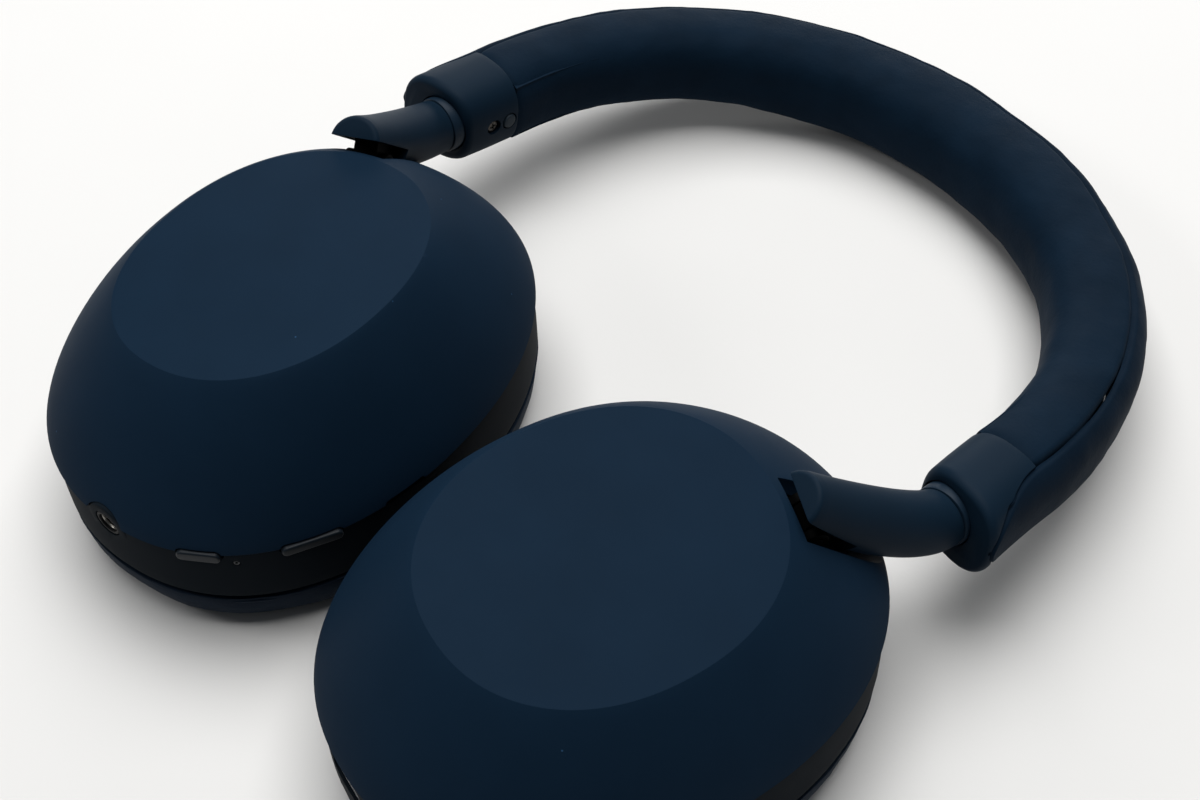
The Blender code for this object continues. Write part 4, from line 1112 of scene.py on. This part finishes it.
def noise_field(material, size, detail=3.0):
    """Noise with features about size metres across."""
    return on_object(material, add(material, "ShaderNodeTexNoise", Scale=1 / size, Detail=detail))


def cell_field(material, size):
    """Cells about size metres across."""
    return on_object(material, add(material, "ShaderNodeTexVoronoi", Scale=1 / size))


def ramp(material, field, output, stops):
    """A colour ramp over a field, from (place, colour) stops."""
    made = add(material, "ShaderNodeValToRGB")
    elements = made.color_ramp.elements
    while len(elements) < len(stops):
        elements.new(0.5)
    for element, (place, colour) in zip(elements, stops):
        element.position = place
        element.color = (*colour, 1)
    wire(material, field, output, made, "Fac")
    return made


def scaled(colour, factor):
    return tuple(min(channel * factor, 1) for channel in colour)


def mottle(material, colour, size, spread_share):
    """Lets the colour wander a little over the surface."""
    stops = ((0.3, scaled(colour, 1 - spread_share)), (0.7, scaled(colour, 1 + spread_share)))
    made = ramp(material, noise_field(material, size), "Fac", stops)
    wire(material, made, "Color", shader_of(material), "Base Color")
    return made


def rough_range(material, size, low, high):
    """Lets the roughness wander between two values."""
    span = add(material, "ShaderNodeMapRange", To_Min=low, To_Max=high)
    wire(material, noise_field(material, size), "Fac", span, "Value")
    wire(material, span, "Result", shader_of(material), "Roughness")


def bump(material, field, output, height, before=None):
    """Adds a field to the surface as relief of that height, on top of any relief before it."""
    made = add(material, "ShaderNodeBump", Strength=1.0, Distance=height)
    wire(material, field, output, made, "Height")
    if before:
        wire(material, before, "Normal", made, "Normal")
    wire(material, made, "Normal", shader_of(material), "Normal")
    return made


def specks(material, base, size, colour, amount):
    """A few tiny pale dust specks over the base colour."""
    cells = cell_field(material, size)
    near = add(material, "ShaderNodeMapRange", From_Min=0.035, From_Max=0.02, To_Min=0.0, To_Max=1.0)
    wire(material, cells, "Distance", near, "Value")
    split = add(material, "ShaderNodeSeparateColor")
    wire(material, cells, "Color", split, "Color")
    chosen = add(material, "ShaderNodeMapRange", From_Min=1 - amount, From_Max=1 - amount + 0.01)
    wire(material, split, "Red", chosen, "Value")
    both = add(material, "ShaderNodeMath")
    both.operation = "MULTIPLY"
    wire(material, near, "Result", both, 0)
    wire(material, chosen, "Result", both, 1)
    mix = add(material, "ShaderNodeMix")
    mix.data_type = "RGBA"
    wire(material, both, "Value", mix, "Factor")
    wire(material, base, "Color", mix, MIX_COLOUR_A)
    mix.inputs[MIX_COLOUR_B].default_value = (*colour, 1)
    wire(material, mix, MIX_COLOUR_OUT, shader_of(material), "Base Color")


def soft_touch(name, colour, roughness, specular, speckled=False):
    """Matte coated plastic with a very fine grain."""
    material = principled(name, colour, roughness, specular=specular)
    base = mottle(material, colour, 14 * MM, 0.05)
    rough_range(material, 5 * MM, roughness - 0.03, roughness + 0.04)
    bump(material, noise_field(material, 0.16 * MM, 2.0), "Fac", 0.006 * MM)
    if speckled:
        specks(material, base, 5.5 * MM, scaled(colour, 4), 0.3)
    return material


def leather(name, colour, roughness, specular, grain):
    """Soft synthetic leather: pebbled grain, faint creases and a slight sheen."""
    material = principled(name, colour, roughness, specular=specular)
    inputs = shader_of(material).inputs
    inputs["Sheen Weight"].default_value = 0.015
    inputs["Sheen Roughness"].default_value = 0.5
    inputs["Sheen Tint"].default_value = (0.55, 0.7, 0.9, 1)
    mottle(material, colour, 9 * MM, 0.12)
    rough_range(material, 3 * MM, roughness - 0.05, roughness + 0.06)
    cells = cell_field(material, grain)
    cells.feature = "SMOOTH_F1"
    pebbles = bump(material, cells, "Distance", 0.05 * grain)
    bump(material, noise_field(material, 2.4 * MM, 4.0), "Fac", 0.10 * MM, pebbles)
    return material


def brushed(name, colour, roughness, stretch=14.0):
    """Metal with fine lines left by the tool that made it."""
    material = principled(name, colour, roughness, metallic=1.0)
    mottle(material, colour, 6 * MM, 0.08)
    mapping = on_object(material, add(material, "ShaderNodeMapping", Scale=(1, stretch, 1)))
    lines = add(material, "ShaderNodeTexNoise", Scale=1 / (1.2 * MM), Detail=3.0)
    wire(material, mapping, "Vector", lines, "Vector")
    rough_range(material, 2 * MM, roughness - 0.06, roughness + 0.08)
    bump(material, lines, "Fac", 0.01 * MM)
    return material


def woven(name, colour, pitch):
    """Cloth of crossing threads."""
    material = principled(name, colour, 0.9, specular=0.2)
    mottle(material, colour, 4 * MM, 0.2)
    before = None
    for direction in ("X", "Y"):
        threads = on_object(material, add(material, "ShaderNodeTexWave", Scale=0.5 / pitch))
        threads.bands_direction = direction
        before = bump(material, threads, "Fac", 0.12 * MM, before)
    return material


def circuit_board(name, colour):
    """Solder mask with faint tracks under it."""
    material = principled(name, colour, 0.45)
    tracks = cell_field(material, 2.6 * MM)
    tracks.distance = "CHEBYCHEV"
    made = ramp(material, tracks, "Distance", ((0.05, scaled(colour, 2.2)), (0.16, colour)))
    wire(material, made, "Color", shader_of(material), "Base Color")
    bump(material, tracks, "Distance", 0.05 * MM)
    return material


def make_materials():
    """All finishes, by name."""
    return {
        "shell": soft_touch("soft_touch_navy", NAVY, 0.55, 0.02, True),
        "trim": soft_touch("satin_navy", NAVY_TRIM, 0.5, 0.04),
        "collar": soft_touch("satin_navy_collar", NAVY_COLLAR, 0.42, 0.1),
        "liner": soft_touch("fine_matte_slate", SLATE, 0.6, 0.02),
        "key": soft_touch("satin_slate_key", KEY_SLATE, 0.4, 0.14),
        "band": leather("band_soft_leather", BAND_LEATHER, 0.6, 0.02, 0.55 * MM),
        "strip": leather("band_strip_leather", STRIP_LEATHER, 0.6, 0.02, 0.5 * MM),
        "pad": leather("pad_soft_leather", PAD_LEATHER, 0.6, 0.06, 0.6 * MM),
        "black": soft_touch("matte_black_moulding", BLACK, 0.55, 0.12),
        # The hinge finish is painted shade of the arm's pocket, darker than the parts' own colour.
        "hinge": soft_touch("hinge_moulding_with_painted_pocket_shade", HINGE_PAINTED_POCKET_SHADE, 0.6, 0.04),
        "dark_metal": brushed("blackened_steel", (0.06, 0.055, 0.05), 0.42),
        "steel": brushed("brushed_spring_steel", (0.55, 0.56, 0.58), 0.3),
        "silver": brushed("bright_contact_ring", (0.26, 0.25, 0.23), 0.34, 3.0),
        "brass": brushed("plated_brass", (0.60, 0.45, 0.20), 0.3, 4.0),
        "marker": soft_touch("pale_grey_marker", (0.016, 0.026, 0.037), 0.5, 0.1),
        "light": soft_touch("milky_light_guide", (0.05, 0.055, 0.06), 0.35, 0.3),
        "board": circuit_board("solder_mask_green", (0.02, 0.10, 0.05)),
        "wrap": brushed("silver_cell_wrap", (0.55, 0.55, 0.56), 0.35, 2.0),
        "scrim": woven("open_scrim_weave", (0.012, 0.013, 0.015), 0.45 * MM),
        "diaphragm": brushed("silver_diaphragm", (0.5, 0.5, 0.52), 0.3, 2.0),
    }


# ---------------------------------------------------------------- assembly


def dress(piece, body, material, slot, *replaced):
    """Gives a new piece its finish and its place in the frame."""
    piece.data.materials.clear()
    piece.data.materials.append(material)
    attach(piece, body)
    if replaced:
        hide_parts(*replaced)
    return piece


def soften(piece):
    """Gives the headband's leather its faint hollows and creases, and keeps it above the table."""
    undulate(piece, BAND_WAVES, leather_share)
    for vert in piece.data.vertices:
        vert.co.z = max(vert.co.z, 0)
    return piece


def leather_share(point):
    """Creases fade out towards the hard caps."""
    return min(max((point.y - CAP_SEAM_Y - 1 * MM) / (9 * MM), 0), 1)


def build_headband(looks):
    padding = dress(soften(cushion()), "headband", looks["band"], "band_leather", "headband_cushion")
    strip = dress(soften(cover()), "headband", looks["strip"], "band_leather", "headband_cover")
    pieces = (
        (end_cap, "trim", "navy_shell", "end_cap_"),
        (end_cap_screw, "dark_metal", "spring_steel", "end_cap_screw_"),
        (side_marker, "marker", "slate_shell", "side_marker_"),
    )
    for label, side in SIDES.items():
        for make, look, slot, node in pieces:
            dress(make(label, side), "headband", looks[look], slot, node + label)


def build_side(label, side, looks):
    """The slider, the arm and the cup of one side, with the hinge between them."""
    pieces = (
        (slider, "slide_arm_", "collar", "navy_shell", "slider_"),
        (arm, "yoke_", "trim", "navy_shell", "arm_"),
        # Knuckle and bracket take the hinge finish, whose near black is painted pocket shade.
        (hinge_knuckle, "yoke_", "hinge", "black_plastic", "hinge_knuckle_"),
        (hinge_bracket, "cup_", "hinge", "spring_steel", "hinge_bracket_"),
        (hinge_pin, "cup_", "dark_metal", "spring_steel", "hinge_pin_"),
        (outer_shell, "cup_", "shell", "navy_shell", "outer_shell_"),
        (inner_shell, "cup_", "liner", "slate_shell", "inner_shell_"),
    )
    for make, body, look, slot, node in pieces:
        dress(make(label, side), body + label, looks[look], slot, node + label)
    cup = "cup_" + label
    pad = dress(ear_pad(label, side), cup, looks["pad"], "pad_leather", "ear_pad_" + label)
    dress(pad_piping(label, side), cup, looks["pad"], "pad_leather")


def build_controls(looks):
    """The keys, jack, light and microphone of the left cup, and the right cup's charging socket."""
    side = SIDES["left"]
    for name, size, matrix in (("power", POWER_SIZE, POWER_MATRIX), ("noise", NOISE_SIZE, NOISE_MATRIX)):
        key = button(name + "_cap", size, matrix, side)
        dress(key, name + "_key", looks["key"], "slate_shell", name + "_button")
    dress(jack_sleeve(side), "cup_left", looks["black"], "jack_brass", "jack_socket")
    dress(jack_ring(side), "cup_left", looks["silver"], "jack_brass")
    dress(status_led(side), "cup_left", looks["light"], "light_guide", "status_led")
    dress(mic_grille(side), "cup_left", looks["black"], "black_plastic", "mic_grille")
    socket = usb_socket(SIDES["right"])
    dress(socket, "cup_right", looks["steel"], "spring_steel", "usb_socket")


def dress_kept_nodes(frame, looks):
    """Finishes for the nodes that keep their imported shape."""
    finishes = {
        "headband_core": "steel",
        "main_board": "board",
        "button_board": "board",
        "charge_board": "board",
        "battery_pack": "wrap",
        "touch_sensor": "brass",
    }
    paired = {
        "slider_guide_": "black",
        "acoustic_scrim_": "scrim",
        "baffle_": "black",
        "driver_basket_": "black",
        "driver_diaphragm_": "diaphragm",
        "driver_magnet_": "steel",
    }
    for label in SIDES:
        finishes.update({name + label: look for name, look in paired.items()})
    for name, look in finishes.items():
        for slot in frame["nodes"][name].material_slots:
            slot.material = looks[look]


# ---------------------------------------------------------------- studio


def studio_floor():
    """A pale table top, a little uneven in tone."""
    bm = bmesh.new()
    bmesh.ops.create_grid(bm, x_segments=2, y_segments=2, size=FLOOR_HALF_SIZE)
    floor = link("studio_floor", bm)
    floor.location.z = -FLOOR_DROP
    material = principled("pale_table_top", FLOOR, 0.6, specular=0.2)
    mottle(material, FLOOR, 60 * MM, 0.006)
    bump(material, noise_field(material, 0.8 * MM, 3.0), "Fac", 0.01 * MM)
    floor.data.materials.append(material)


def add_object(name, data):
    holder = bpy.data.objects.new(name, data)
    bpy.context.scene.collection.objects.link(holder)
    return holder


def area_light(name, place, target, size, power, colour):
    """A soft rectangular light that points at a target."""
    lamp = bpy.data.lights.new(name, "AREA")
    lamp.shape = "RECTANGLE"
    lamp.size, lamp.size_y = size
    lamp.energy = power
    lamp.color = colour
    holder = add_object(name, lamp)
    holder.location = place
    direction = Vector(target) - Vector(place)
    holder.rotation_euler = direction.to_track_quat("-Z", "Y").to_euler()


def studio():
    """Floor, even fill light, lamps and plain colour management."""
    studio_floor()
    bpy.context.scene.view_settings.view_transform = "Standard"
    world = bpy.data.worlds.new("studio")
    world.use_nodes = True
    fill = world.node_tree.nodes["Background"]
    fill.inputs["Color"].default_value = WORLD_COLOUR
    fill.inputs["Strength"].default_value = WORLD_STRENGTH
    bpy.context.scene.world = world
    for light in LIGHTS:
        area_light(*light)


def camera():
    """The camera, with everything in focus."""
    lens = bpy.data.cameras.new("view")
    lens.lens = CAMERA_LENS
    lens.sensor_width = 36.0
    lens.sensor_fit = "HORIZONTAL"
    lens.clip_start = 0.01
    lens.dof.use_dof = False
    holder = add_object("view", lens)
    back = CAMERA_RIGHT.cross(CAMERA_UP)
    holder.matrix_world = axes_matrix(CAMERA_RIGHT, CAMERA_UP, back, CAMERA_PLACE)
    bpy.context.scene.camera = holder


def main():
    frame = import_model()
    camera()
    looks = make_materials()
    build_headband(looks)
    for label, side in SIDES.items():
        build_side(label, side, looks)
    build_controls(looks)
    dress_kept_nodes(frame, looks)
    studio()


main()
